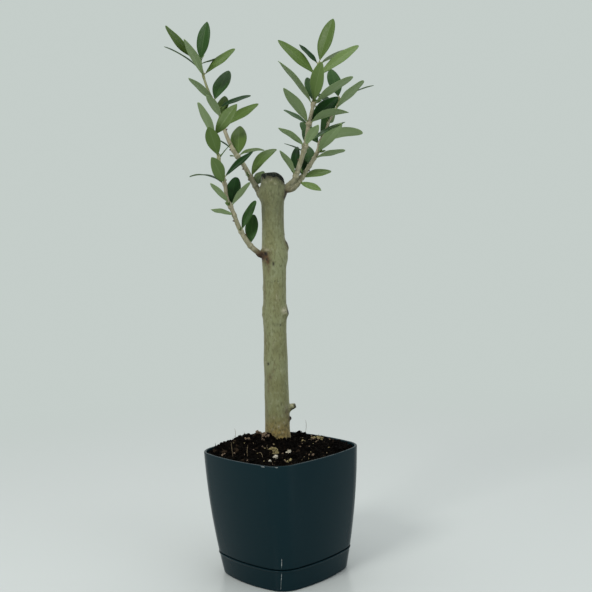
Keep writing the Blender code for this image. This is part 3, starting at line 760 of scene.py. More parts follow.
def turned_from(angles, turn):
    """How far angles lie from a turn in degrees, by the shorter way round."""
    return (angles - math.radians(turn) + math.pi) % (2 * math.pi) - math.pi


def pointing(turn, rise):
    """The way that points to a turn and rises by an angle."""
    return np.array([math.cos(turn) * math.cos(rise), math.sin(turn) * math.cos(rise), math.sin(rise)])


def half_width(z):
    below_rim = HEIGHT - z
    return RIM_HALF_WIDTH - TAPER * below_rim - EXTRA_TAPER * below_rim**2 / HEIGHT


def corner_size(z):
    """How much of each side the round corner takes at a height, and the straight rest of the half side."""
    corner = BASE_CORNER + (RIM_CORNER - BASE_CORNER) * z / HEIGHT
    return corner, half_width(z) - corner


def outline(z, inset=0.0):
    """The pot's outline at a height: four bowed sides that run smoothly into round corners."""
    corner, straight = corner_size(z)
    corner_radius = corner - SIDE_BOW - inset
    meet = 2 * math.atan(SIDE_BOW / straight)
    side_radius = corner_radius + straight / math.sin(meet)
    side_centre = half_width(z) - inset - side_radius
    side = np.linspace(-meet, meet, SIDE_STEPS, endpoint=False)
    bend = np.linspace(meet, math.pi / 2 - meet, CORNER_STEPS, endpoint=False)
    x = np.concatenate([side_centre + side_radius * np.cos(side), straight + corner_radius * np.cos(bend)])
    y = np.concatenate([side_radius * np.sin(side), straight + corner_radius * np.sin(bend)])
    rings = []
    for quarter in range(4):
        turn = CORNER_TO_FRONT + quarter * math.pi / 2
        rings.append(np.stack([
            x * math.cos(turn) - y * math.sin(turn),
            x * math.sin(turn) + y * math.cos(turn),
            np.full(len(x), z),
        ], axis=-1))
    return np.concatenate(rings)


def outlines(inset, *heights):
    return [outline(z, inset) for z in heights]


def front_corner(x, z):
    """A point on the pot's round front corner."""
    corner, straight = corner_size(z)
    return x, -(straight * math.sqrt(2) + math.sqrt((corner - SIDE_BOW) ** 2 - x**2)), z


def rounded(z, inset, up, inwards, radius=EDGE_ROUND):
    """Rings round an edge from an upright wall to a level face."""
    rings = []
    for step in range(EDGE_STEPS + 1):
        angle = math.pi / 2 * step / EDGE_STEPS
        rise = up * radius * (1 - math.sin(angle))
        rings.append(outline(z - rise, inset + inwards * radius * (1 - math.cos(angle))))
    return rings


def make_saucer(plastic):
    top = SAUCER_HEIGHT
    outer, inner = SAUCER_LIP_ROUNDS
    rings = [outline(0.0, 3.0), *rounded(0.0, 0.0, -1, 1, SAUCER_FOOT_ROUND)[::-1]]
    rings += outlines(0.0, *np.linspace(2.0, top - 1.9, 8))
    rings += [outline(top - 1.5, -0.06), outline(top - 1.2, -0.2), outline(top - 0.95, -0.4)]
    rings += rounded(top, -SAUCER_LIP, 1, 1, outer)
    rings += rounded(top, SAUCER_WALL, 1, -1, inner)[::-1]
    rings += outlines(SAUCER_WALL, 15.0, 9.0, SAUCER_FLOOR + 1.0)
    rings += [outline(SAUCER_FLOOR + 0.3, SAUCER_WALL + 0.3), outline(SAUCER_FLOOR, SAUCER_WALL + 1.0)]
    shape = Shape()
    shape.loft(rings)
    shape.piece("saucer_tray", [plastic], "pot_plastic", ["saucer"])


def make_pot(plastic):
    foot_inset = SAUCER_WALL + FOOT_CLEARANCE
    inner_step = SHOULDER + POT_WALL
    rings = [outline(POT_FOOT, foot_inset + 3.0), outline(POT_FOOT, foot_inset + 0.5)]
    rings += outlines(foot_inset, POT_FOOT + 0.5, 11.0, SHOULDER)
    rings += rounded(SHOULDER, 0.0, -1, 1, SHOULDER_ROUND)[::-1]
    rings += outlines(0.0, *np.linspace(SHOULDER + 1.5, HEIGHT - EDGE_ROUND - 0.6, WALL_RINGS))
    rings += rounded(HEIGHT, 0.0, 1, 1)
    rings += rounded(HEIGHT, POT_WALL, 1, -1)[::-1]
    rings += outlines(POT_WALL, 108.0, 90.0, 60.0, inner_step)
    rings += outlines(foot_inset + POT_WALL, inner_step, POT_FOOT + POT_FLOOR)
    shape = Shape()
    shape.loft(rings)
    shape.piece("pot_shell", [plastic], "pot_plastic", ["pot"])


def make_painted_glints(painted_glint):
    """Thin pale lines of painted highlight: on the front corner's moulding line and on the rim."""
    shape = Shape()
    for low, high, low_x, high_x in GLINT_LINES:
        places = zip(np.linspace(low_x, high_x, 6), np.linspace(low, high, 6))
        thin_tube(shape, [front_corner(x, z) for x, z in places], GLINT_RADIUS, 6, 0)
    for left, right in GLINT_RIM:
        points = [front_corner(x, HEIGHT - EDGE_ROUND) for x in np.linspace(left, right, 4)]
        thin_tube(shape, points, GLINT_RADIUS, 6, 0)
    shape.piece("painted_glints", [painted_glint], None, ["pot"])


def from_edge(x, y):
    """How far places in the pot's mouth lie in from its outline."""
    corner, straight = corner_size(HEIGHT - SOIL_EDGE_DIP)
    u = np.abs(x * math.cos(CORNER_TO_FRONT) + y * math.sin(CORNER_TO_FRONT))
    v = np.abs(y * math.cos(CORNER_TO_FRONT) - x * math.sin(CORNER_TO_FRONT))
    bow = SIDE_BOW * np.minimum(u, v) ** 2 / straight**2
    past = np.hypot(np.maximum(u - straight, 0), np.maximum(v - straight, 0))
    at_corner = (u > straight) & (v > straight)
    return np.where(at_corner, corner - SIDE_BOW - past, straight + corner - bow - np.maximum(u, v))


def soil_level(x, y):
    """Height of the soil at places in the pot's mouth: clumps, heaps at the trunk and a dip at the edge."""
    rise = np.clip(SOIL_SLOPE * y, SOIL_LOW, SOIL_HIGH)
    clump = noise_at(np.stack([x, y, np.zeros_like(x)], axis=-1), CLUMP_SIZE)
    level = HEIGHT + SOIL_ABOVE_RIM + rise + CLUMP_HEIGHT * clump
    low = np.minimum(HEIGHT, level) - SOIL_EDGE_DIP
    clear = POT_WALL + GAP + SOIL_EDGE_CLEARANCE
    level = low + (level - low) * smoothstep(clear - 1.0, clear + SOIL_EDGE_SLOPE, from_edge(x, y))
    for heap_x, heap_y, radius, height in SOIL_HEAPS:
        level += height * np.exp(-((x - heap_x) ** 2 + (y - heap_y) ** 2) / radius**2)
    return level


def make_soil_bed(peat):
    inner_step = SHOULDER + POT_WALL
    narrow = SAUCER_WALL + FOOT_CLEARANCE + POT_WALL + GAP
    wide = POT_WALL + GAP
    edge_z = HEIGHT - SOIL_EDGE_DIP
    edge = outline(edge_z, wide + SOIL_EDGE_CLEARANCE)
    edge[:, 2] = soil_level(edge[:, 0], edge[:, 1])
    rings = outlines(narrow, POT_FOOT + POT_FLOOR + GAP, inner_step + GAP)
    rings += outlines(wide, inner_step + GAP, 68.0, edge_z - 7.0)
    rings.append(edge)
    spot = np.array([TRUNK_FOOT.x, TRUNK_FOOT.y])
    out = edge[:, :2] - spot
    near = out / np.linalg.norm(out, axis=1, keepdims=True) * (TRUNK_RADII[0][1] - 1.5)
    for ring in range(1, SOIL_RINGS + 1):
        share = (ring / SOIL_RINGS) ** 0.9
        flat = spot + out + (near - out) * share
        points = np.column_stack([flat, soil_level(flat[:, 0], flat[:, 1])])
        points[:, 2] += noise_at(points, BED_GRAIN, 4) * BED_RELIEF * min(1.0, ring / 3)
        rings.append(points)
    shape = Shape()
    shape.loft(rings)
    shape.piece("soil_bed", [peat], "soil", ["soil"], 180.0)


def strewn(rng, count, inset, clear=CRUMBS_CLEAR, middle=(0.0, 0.0), spread=SOIL_REACH):
    """Random places on the soil, clear of the trunk, round a middle."""
    found = np.zeros((0, 2))
    while len(found) < count:
        angle = rng.uniform(0, 2 * math.pi, count)
        reach = spread * np.sqrt(rng.uniform(0, 1, count))
        x = middle[0] + reach * np.cos(angle)
        y = middle[1] + reach * np.sin(angle)
        apart = np.hypot(x - TRUNK_FOOT.x, y - TRUNK_FOOT.y) > clear
        good = (from_edge(x, y) > inset) & apart
        found = np.vstack([found, np.column_stack([x, y])[good]])
    return found[:count]


def lump(level):
    """Points and faces of a round lump, which crumbs and grains are crumpled from."""
    bm = bmesh.new()
    bmesh.ops.create_icosphere(bm, subdivisions=level, radius=1.0)
    points = np.array([vertex.co for vertex in bm.verts])
    faces = np.array([[vertex.index for vertex in face.verts] for face in bm.faces])
    bm.free()
    return points, faces


def random_turns(rng, count):
    """Random rotations as an array of matrices."""
    q = rng.normal(size=(count, 4))
    w, x, y, z = (q / np.linalg.norm(q, axis=1, keepdims=True)).T
    rows = [
        [1 - 2 * (y * y + z * z), 2 * (x * y - z * w), 2 * (x * z + y * w)],
        [2 * (x * y + z * w), 1 - 2 * (x * x + z * z), 2 * (y * z - x * w)],
        [2 * (x * z - y * w), 2 * (y * z + x * w), 1 - 2 * (x * x + y * y)],
    ]
    return np.array(rows).transpose(2, 0, 1)


def add_lumps(shape, rng, centres, radii, level, kinds, crumple=0.22, longest=1.45):
    """Adds crumpled lumps of those radii round those centres."""
    base, faces = lump(level)
    count = len(centres)
    sizes = radii[:, None] * rng.uniform(1 / longest, longest, (count, 3)) ** 0.8
    rough = 1 + rng.normal(0, crumple, (count, len(base), 1)).clip(-0.45, 0.45)
    points = base[None] * sizes[:, None, :] * rough
    points = np.einsum("nij,nvj->nvi", random_turns(rng, count), points) + centres[:, None, :]
    offsets = (np.arange(count) * len(base))[:, None, None]
    shape.add(points.reshape(-1, 3), (faces[None] + offsets).reshape(-1, 3), np.repeat(kinds, len(faces)))


def make_crumbs(finishes):
    rng = np.random.default_rng(SEED)
    shape = Shape()
    for count, smallest, largest, level in CRUMB_SIZES:
        places = strewn(rng, count, 4.0 + largest * 0.7)
        radii = rng.uniform(smallest, largest, count)
        sink = rng.uniform(*CRUMB_SUNK, count)
        z = soil_level(places[:, 0], places[:, 1]) + radii * sink
        kinds = rng.choice(len(finishes), count, p=CRUMB_SHARES)
        add_lumps(shape, rng, np.column_stack([places, z]), radii, level, kinds)
    turn = rng.uniform(0, 2 * math.pi, FOOT_CRUMBS)
    reach = rng.uniform(*FOOT_CRUMB_REACH, FOOT_CRUMBS)
    x = TRUNK_FOOT.x + reach * np.cos(turn)
    y = TRUNK_FOOT.y + reach * np.sin(turn)
    middles = np.column_stack([x, y, soil_level(x, y) + rng.uniform(0.0, FOOT_CRUMB_RISE, FOOT_CRUMBS)])
    radii = rng.uniform(*FOOT_CRUMB_RADII, FOOT_CRUMBS)
    kinds = rng.choice(len(FOOT_CRUMB_SHARES), FOOT_CRUMBS, p=FOOT_CRUMB_SHARES)
    add_lumps(shape, rng, middles, radii, 2, kinds)
    shape.piece("soil_crumbs", finishes, "soil", ["soil"], 35.0)


def make_grains(finishes):
    rng = np.random.default_rng(SEED + 1)
    shape = Shape()
    for x, y, spread, count, smallest, largest, kind in GRAINS:
        places = strewn(rng, count, 5.5, GRAINS_CLEAR, (x, y), spread)
        radii = rng.uniform(smallest, largest, count)
        z = soil_level(places[:, 0], places[:, 1]) + radii * 0.35 + GRAIN_RISE
        middles = np.column_stack([places, z])
        add_lumps(shape, rng, middles, radii, 3, np.full(count, kind), GRAIN_CRUMPLE, 1.3)
    shape.piece("soil_grains", finishes, "grains", ["soil"], 50.0)


def make_fibres(finishes):
    rng = np.random.default_rng(SEED + 2)
    shape = Shape()
    places = strewn(rng, PEAT_FIBRES, 5.5)
    levels = soil_level(places[:, 0], places[:, 1])
    for (x, y), z in zip(places, levels):
        turn = rng.uniform(0, 2 * math.pi)
        rise = rng.uniform(*PEAT_FIBRE_RISE)
        reach = rng.uniform(*PEAT_FIBRE_LENGTH)
        way = Vector(pointing(turn, rise))
        foot = Vector((x, y, z - 0.2))
        middle = foot + way * reach * 0.5 + Vector(rng.normal(0, 0.35, 3))
        tip = foot + way * reach
        kind = int(rng.random() < PALE_SHARE)
        if from_edge(np.array(tip.x), np.array(tip.y)) > 3.5:
            thin_tube(shape, (foot, middle, tip), rng.uniform(*PEAT_FIBRE_RADII), 4, kind)
    for points in FIBRES:
        thin_tube(shape, points, FIBRE_RADIUS, 6, 1)
    shape.piece("soil_fibres", finishes, "grains", ["soil"])


def eased(heights, table, reach):
    """Values of a table at heights, with its corners eased over that reach."""
    spans = np.linspace(-reach, reach, 7)
    return sum(np.interp(heights + span, *zip(*table)) for span in spans) / len(spans)


def trunk_axis(heights):
    """The trunk's axis at heights above the soil: a straight lean with a slight bow and sway."""
    heights = np.asarray(heights, float)
    share = heights / (TRUNK_TOP.z - TRUNK_FOOT.z)
    bow = TRUNK_BOW * np.sin(2 * math.pi * share)
    foot, top = np.array(TRUNK_FOOT), np.array(TRUNK_TOP)
    offset = np.stack([eased(heights, TRUNK_SWAY, 12.0) - bow, 0.6 * bow, np.zeros_like(bow)], axis=-1)
    return foot + (top - foot) * share[..., None] + offset


def trunk_radius(heights):
    exact = np.interp(heights, *zip(*TRUNK_RADII))
    return np.where(np.asarray(heights) > TRUNK_EASED_TO, exact, eased(heights, TRUNK_RADII, 3.0))


def on_bark(height, turn):
    """A place on the smooth bark."""
    return trunk_axis(height) + circle(math.radians(turn)) * float(trunk_radius(height))


def top_slope(right):
    """How much lower the sawn top is at places that far to the right of the trunk's axis."""
    low, high = TOP_SLOPE_SPAN
    return TOP_SLOPE * np.maximum(0, (right - low) / (high - low)) ** 2


def bark_grid(heights):
    """Points of the bark at heights above the soil, one row for each."""
    h, a = np.meshgrid(heights, TRUNK_ANGLES, indexing="ij")
    shift = h / 60
    lobes = 0.6 * np.cos(2 * a + shift) + 0.4 * np.cos(3 * a - 2 * shift)
    reach = trunk_radius(h) * (1 + TRUNK_LOBES * lobes)
    flat = circle(a, MEAN_RADIUS, h).reshape(-1, 3)

    def away(height, turn):
        return np.hypot(h - height, MEAN_RADIUS * turned_from(a, turn))

    reach += RIDGE_RELIEF * noise_at(flat * (1, 1, 0.14), 1.7, 3).reshape(h.shape)
    reach += SWELL_RELIEF * noise_at(flat * (1, 1, 0.45), 9.0, 2).reshape(h.shape)
    rough = noise_at(flat, 1.9, 3).reshape(h.shape)
    for height, turn, bulge, size, scar in SWELLINGS:
        apart = away(height, turn)
        reach += bulge * (1 - smoothstep(size * 0.25, size * 1.15, apart))
        reach -= scar * (1 - smoothstep(size * 0.12, size * 0.42, apart))
        reach += 0.35 * scar * fading(apart - size * 0.5, size * 0.12)
    for height, turn, size, relief in CALLUS:
        reach += relief * rough * fading(away(height, turn), size)
    for height, turn, size, depth in PITS:
        reach -= depth * fading(away(height, turn), size)
    rng = np.random.default_rng(SEED + 3)
    for _ in range(LENTICELS):
        height, turn, size = rng.uniform(*LENTICEL_SPAN), rng.uniform(0, 360), rng.uniform(*LENTICEL_SIZE)
        reach += LENTICEL_RISE * fading(away(height, turn), size)
    points = trunk_axis(h) + circle(a) * reach[..., None]
    points[..., 2] -= top_slope(reach * np.cos(a)) * smoothstep(TOP_SLOPE_FROM, TRUNK_HEIGHT, h)
    return points


def mark_bark(piece, trunk_share=0.0):
    """Gives the bark's points the strengths of its tones. A bough's root takes on some trunk colour."""
    points = np.array([vertex.co for vertex in piece.data.vertices]) / MM
    heights = points[:, 2] - TRUNK_FOOT.z
    out = (points - trunk_axis(heights))[:, :2]
    angles = np.arctan2(out[:, 1], out[:, 0])
    clear = np.hypot(out[:, 0], out[:, 1]) - trunk_radius(heights)
    past_bark = 0.6 * np.maximum(0, clear - MARK_REACH)
    blotch = 0.5 + 0.5 * noise_at(points, 3.0, 3)
    tones = {
        "trunk": trunk_share * (1 - smoothstep(*TRUNK_TINT_REACH, clear)),
        "earth": (1 - smoothstep(*EARTHY, heights)) * (0.55 + 0.6 * blotch),
        "weather": MOST_WEATHERED * smoothstep(*WEATHERED, heights) * (0.6 + 0.8 * blotch),
    }
    for name, marks in MARKS.items():
        tone = np.zeros(len(points))
        for height, turn, size, tall, strength in marks:
            across = MEAN_RADIUS * turned_from(angles, turn)
            apart = np.sqrt(((heights - height) / tall) ** 2 + across**2 + past_bark**2)
            tone = np.maximum(tone, strength * fading(apart, size))
        tones[name] = tone * (0.65 + 0.7 * blotch)

    def mark(name, tone):
        tones[name] = np.maximum(tones[name], tone)

    below_top = TRUNK_TOP.z - TRUNK_FOOT.z - top_slope(out[:, 0]) - heights
    smeared = smoothstep(*SMEARED, below_top + SMEAR_RAGGED * blotch) * (1 - smoothstep(0.5, 2.0, clear))
    mark("scar", MOST_SMEARED * smeared)
    mark("scar", MOST_DIRTY * smoothstep(*DIRTY, heights + DIRT_RAGGED * blotch))
    height, turn, reach, root, _, rise, cut_at = STUBS[0]
    start, way = on_bark(height, turn), pointing(math.radians(turn), math.radians(rise))
    apart = points - start - way * reach * 0.6
    at_stub = np.exp(-((np.linalg.norm(apart, axis=1) / (1.65 * root)) ** 4))
    on_cut = smoothstep(cut_at - 0.5, cut_at - 0.1, heights - height) * (heights < height + cut_at + 0.5)
    along = (points - start) @ way
    at_end = smoothstep(reach - 2.4, reach - 1.2, along)
    upper = smoothstep(-2.0, 0.5, apart[:, 2]) * (along > 0) * (1 - at_end)
    mark("pale", at_stub * np.maximum(0.8 * on_cut, 0.5 * upper))
    # On the first stub, the scar tone lays painted shade on its underside, over dark bark, and darkens its
    # end.
    under = smoothstep(-4.5, -2.5, apart[:, 2]) * (1 - smoothstep(-1.6, -0.4, apart[:, 2])) * (past_bark > 0)
    mark("scar", at_stub * np.maximum(0.75 * under, 0.9 * at_end) * (1 - on_cut))
    for name, tone in tones.items():
        piece.data.attributes.new(name, "FLOAT", "POINT").data.foreach_set("value", tone.clip(0, 1))


def add_stub(shape, height, turn, reach, root, end, rise, cut_at):
    """A stub with a rounded rim round its end, cut off level where it rises past its cut."""
    way = pointing(math.radians(turn), math.radians(rise))
    start = on_bark(height, turn)
    rings = []
    steps = np.arange(-STUB_SUNK, reach - 0.5, STUB_RING)
    for along in np.append(steps, (reach - 0.45, reach - 0.15, reach)):
        share = min(1.0, max(0.0, along / reach))
        radius = root + (end - root) * share + 0.8 * math.exp(-max(0.0, along + 0.6) / 0.9)
        radius -= 0.55 * max(0.0, 1 - (reach - along) / 0.5) ** 2
        centre = start + way * along
        ring = ring_round(centre, Vector(way), radius, STUB_SIDES)
        rough = noise_at(ring, 1.8, 3)[:, None] * 0.3
        ring = ring + (ring - centre) / radius * rough
        above = ring[:, 2] - start[2] - cut_at
        ring[:, 2] -= np.maximum(above, 0) * 0.97
        rings.append(ring)
    tip = start + way * (reach - 0.5)
    tip[2] = min(tip[2], start[2] + cut_at)
    shape.loft(rings, 0, None, tip)


def make_trunk(bark):
    heights = np.concatenate([
        np.arange(-TRUNK_SUNK, TRUNK_FINE_FROM, TRUNK_RING),
        np.arange(TRUNK_FINE_FROM, TRUNK_HEIGHT, TRUNK_FINE_RING),
        [TRUNK_HEIGHT],
    ])
    shape = Shape()
    shape.loft(bark_grid(heights))
    for stub in STUBS:
        add_stub(shape, *stub)
    mark_bark(shape.piece("trunk_bark", [bark], "bark", ["trunk"], 60.0))


def make_paste(paste):
    """The paste that seals the sawn top and runs a little way down the bark with a ragged edge."""
    grid = bark_grid(np.linspace(TRUNK_HEIGHT - PASTE_DEEPEST, TRUNK_HEIGHT, PASTE_LEVELS))
    out = circle(TRUNK_ANGLES)
    run = PASTE_RUN + PASTE_RAGGED * noise_at(out * MEAN_RADIUS, 3.2, 2)
    for turn, further, spread in PASTE_TEARS:
        run += further * fading(np.degrees(turned_from(TRUNK_ANGLES, turn)), spread)
    run = run.clip(PASTE_LEAST, PASTE_DEEPEST)
    points = []
    for ring in range(PASTE_RINGS + 1):
        share = ring / PASTE_RINGS
        row = ((1 - run * (1 - share) / PASTE_DEEPEST) * (PASTE_LEVELS - 1)).round().astype(int)
        lift = PASTE_THICK * smoothstep(0.0, 0.35, share) - 0.12
        points.append(grid[row, np.arange(len(out))] + out * lift)
    rim = points[-1]
    middle = rim.mean(0)
    for share, rise in PASTE_CROWN:
        ring = rim + (middle - rim) * share
        ring[:, 2] += rise + 0.2 * noise_at(ring, 3.0, 3)
        points.append(ring)
    shape = Shape()
    shape.loft([points[0] - out * 1.2, *points], 0, middle - (0, 0, 4.0), middle + (0, 0, 0.2))
    shape.piece("cut_paste", [paste], None, ["trunk"], 60.0)


def sweep(shape, path, start, end, radius_at, sides, kind_at=lambda at: 0, roughness=TWIG_ROUGHNESS):
    """A limb along a path, whose radius and finish are functions of the distance along it."""
    count = max(3, round((end - start) / RING_SPACING) + 1)
    rings = []
    kinds = []
    for at in np.linspace(start, end, count):
        centre, way = on_path(path, at)
        ring = ring_round(centre, way, radius_at(at), sides)
        rough = noise_at(ring, 1.5, 3)[:, None] * roughness
        rings.append(ring + (ring - np.array(centre)) * rough)
        kinds.append(kind_at(at))
    shape.loft(rings, np.repeat(kinds[:-1], sides).reshape(count - 1, sides))


def path_into_shoot(points, shoot):
    """A bough's path that turns into the start of the shoot that it carries."""
    start, way = on_path(smooth_path(SHOOTS[shoot]["path"]), 0)
    return smooth_path((*points, start - way * RUN_INTO_SHOOT, start))


def with_root(path):
    """A bough's path with its root in the trunk added before its start."""
    centre, way = on_path(path, 0)
    inward = Vector(trunk_axis(centre.z - TRUNK_FOOT.z)) - centre
    root = centre + (inward.normalized() * 0.7 - way * 0.7).normalized() * BOUGH_SUNK
    return smooth_path((root, centre, *path[4:-3:4], path[-1]))


def make_bough(name, path, length, radii, flare_out, finishes, forks=()):
    """A bough with a wrinkled, flared root in the trunk, and any forks."""
    wider, flare_reach = flare_out

    def tapered(at, whole):
        return radii[0] + (radii[1] - radii[0]) * at / whole

    def radius_at(at):
        past = at - BOUGH_SUNK
        flare = wider * math.exp(-max(0.0, past - 1.0) / flare_reach)
        wrinkle = 0.05 * math.sin(past * 2.4) * math.exp(-max(0.0, past - 2.0) / 4.0)
        return tapered(max(0.0, past), length) * (1 + flare + wrinkle)

    shape = Shape()
    end = BOUGH_SUNK + length + JOINT_OVERLAP
    sweep(shape, with_root(path), 0, end, radius_at, LIMB_SIDES, roughness=BOUGH_ROUGHNESS)
    for fork in forks:
        reach = len(fork) - 1
        end = reach + JOINT_OVERLAP
        sweep(shape, fork, 0, end, lambda at: tapered(at, reach), LIMB_SIDES, roughness=FORK_ROUGHNESS)
    mark_bark(shape.piece(f"{name}_bark", finishes, "bark", [name], 60.0), ROOT_TRUNK_SHARE)


def make_boughs(finishes):
    for side in ("left_low", "left_high"):
        design = SHOOTS[side]
        path = smooth_path(design["path"])
        first, last = design["radii"]
        end = first + (last - first) * design["bough"] / (len(path) - 1)
        make_bough(f"bough_{side}", path, design["bough"], (first, end), design["flare"], finishes)
    right = path_into_shoot(RIGHT_BOUGH, "right_front")
    forks = [path_into_shoot(RIGHT_FORK, "right_rear"), smooth_path(RIGHT_CROTCH)]
    make_bough("bough_right", right, len(right) - 1, RIGHT_BOUGH_RADII, RIGHT_FLARE, finishes, forks)


def leaf_axes(bearing, lean, facing, upwards):
    """Where a leaf's chord, its top and its width point."""
    side_angle, lean_angle = math.radians(bearing), math.radians(lean)
    chord = Vector((math.sin(side_angle) * math.cos(lean_angle), -math.sin(lean_angle),
                    math.cos(side_angle) * math.cos(lean_angle)))
    front = Vector((0, -1, 0))
    towards = front - chord * chord.dot(front)
    if towards.length < 0.2:
        towards = Vector((0, 0, 1)) - chord * chord.z
    towards.normalize()
    across = chord.cross(towards)
    if across.dot(upwards) < 0:
        across.negate()
    face = math.radians(facing)
    top = (towards * math.cos(face) + across * math.sin(face)).normalized()
    return chord, top, chord.cross(top)


def add_leaf(shape, root, leaf, upwards, detail, steps=LEAF_STEPS):
    """A folded, arching blade with a grooved midrib and rolled edges, on its petiole."""
    bearing, lean, length, facing, arch, age = leaf
    chord, top, hinge = (np.array(axis) for axis in leaf_axes(bearing, lean, facing, upwards))
    bend = math.radians(arch)
    plump = 1 + LEAF_PLUMP * abs(math.cos(math.radians(facing))) ** 4
    width = length / LEAF_LENGTH_TO_WIDTH * plump * detail.uniform(0.97, 1.06)
    blunt = detail.uniform(0.12, 0.38)
    twist, wave, phase = detail.uniform(-0.16, 0.16), detail.uniform(0.10, 0.28), detail.uniform(0, 6.28)
    small = min(1.0, length / FULL_LEAF)

    def spine(share):
        angle = bend * (0.5 - share)
        sine, cosine = np.sin(angle)[:, None], np.cos(angle)[:, None]
        centre = (chord * (math.sin(bend / 2) - sine) + top * (cosine - math.cos(bend / 2))) * length / bend
        return np.array(root) + centre, top * cosine - chord * sine

    step = np.arange(steps) / steps
    bare = PETIOLE * 0.8
    share = bare + (1 - bare) * (0.5 - 0.5 * np.cos(np.pi * (0.06 + 0.94 * step)))
    blade = np.clip((share - bare) / (1 - bare), 0, 1)
    half = width / 2 * np.sin(np.pi * blade**1.06) ** (0.86 - blunt * blade)
    half = np.maximum(half, 0.3 * small)[:, None]
    centre, normal = spine(share)
    roll = (twist * (share - 0.25))[:, None]
    wide = hinge * np.cos(roll) + normal * np.sin(roll)
    normal = normal * np.cos(roll) - hinge * np.sin(roll)
    u = np.array(LEAF_ACROSS)[None]
    away = np.abs(u) * half
    form = half * LEAF_FOLD * np.abs(u) ** 1.5
    form = form - half * LEAF_CURL * np.clip((np.abs(u) - CURL_FROM) / (1 - CURL_FROM), 0, 1) ** 2
    form = form + wave * small * np.abs(u) ** 3 * np.sin(13 * share[:, None] + phase + 1.1 * np.sign(u))
    thick = (LEAF_THIN + LEAF_THICK * np.sqrt(1 - u**2)) * small / 2
    rib = (1 - 0.7 * share[:, None]) * small
    upper = form + thick - TOP_GROOVE[0] * rib * fading(away, TOP_GROOVE[1])
    under = form - thick - UNDER_RIB[0] * rib * fading(away, UNDER_RIB[1])
    flat = centre[:, None] + wide[:, None] * (u * half)[..., None]
    faces_up = flat + normal[:, None] * upper[..., None]
    faces_down = (flat + normal[:, None] * under[..., None])[:, ::-1]
    strips = len(LEAF_ACROSS) - 1
    kinds = np.array([age] * strips + [2 * AGE_AND_SHADE_TINTS + age] * (strips + 2))
    kinds[RIB_STRIP] = AGE_AND_SHADE_TINTS + age
    kinds[strips + 1 + RIB_STRIP] = 3 * AGE_AND_SHADE_TINTS + age
    tip = spine(np.array([1.0]))[0][0] + chord * 0.2 * small
    shape.loft(np.concatenate([faces_up, faces_down], axis=1), kinds[None], None, tip)
    stalk = np.linspace(0.0, PETIOLE * 1.9, 9)
    centre, normal = spine(stalk)
    thin = PETIOLE_RADIUS * small * (1 - 0.45 * stalk / stalk[-1])
    thin = thin * (1 + 0.35 * np.exp(-stalk * length / 0.9))
    drop = np.clip(stalk / PETIOLE - 0.9, 0, 1) * 0.42 * small
    angles = (np.arange(PETIOLE_SIDES) * 2 * math.pi / PETIOLE_SIDES)[None, :, None]
    ring = hinge * np.cos(angles) + normal[:, None] * np.sin(angles) * 0.85
    rings = (centre - normal * drop[:, None])[:, None] + ring * thin[:, None, None]
    shape.loft(rings, 4 * AGE_AND_SHADE_TINTS)


def add_bud(shape, base, growth, size, kind):
    """A small pointed bud with a shoulder."""
    rings = []
    for share, radius in BUD_PROFILE:
        centre = base + growth * (share * BUD_LENGTH * size)
        rings.append(ring_round(centre, growth, radius * BUD_RADIUS * size, 8))
    shape.loft(rings, kind, None, base + growth * BUD_LENGTH * size)


def add_side_twig(twigs, leaves, base, way, chance, detail):
    """A short twig in an axil with one pair of small leaves at its end."""
    side = Quaternion(way, chance.uniform(0, 2 * math.pi)) @ way.orthogonal().normalized()
    growth = (way * 0.8 + side).normalized()
    length = chance.uniform(*SIDE_TWIG_LENGTH)
    tip = base + growth * length
    path = [base + growth * step for step in range(8)]

    def radius_at(at):
        return SIDE_TWIG_RADIUS * (1.25 - 0.3 * at / length)

    sweep(twigs, path, 0, length, radius_at, 8, lambda at: GREEN_TWIG)
    for bend in (-1, 1):
        out = (growth + side.cross(growth) * bend * 0.45).normalized()
        lean = math.degrees(math.asin(max(-1, min(1, -out.y))))
        bearing = math.degrees(math.atan2(out.x, out.z))
        small = chance.uniform(*SMALL_LEAF)
        facing = chance.uniform(*SMALL_LEAF_FACING)
        leaf = (bearing, lean, small, facing, 10, YOUNG)
        add_leaf(leaves, tip - growth, leaf, growth, detail, SMALL_LEAF_STEPS)
    add_bud(twigs, tip - growth * 0.3, growth, 0.8, BUD_SCALE)


def stretches_of(shoot):
    """Name, start and end of each stretch of a shoot that is a node of its own, in millimetres along it."""
    design = SHOOTS[shoot]
    whole = len(smooth_path(design["path"])) - 1
    start = design.get("bough", 0.0) + GAP
    if "split" not in design:
        return [(f"foliage_{shoot}", start, whole)]
    split = design["split"]
    side = shoot.split("_")[0]
    return [(f"foliage_{shoot}", start, split), (f"foliage_{side}_top", split + GAP, whole)]


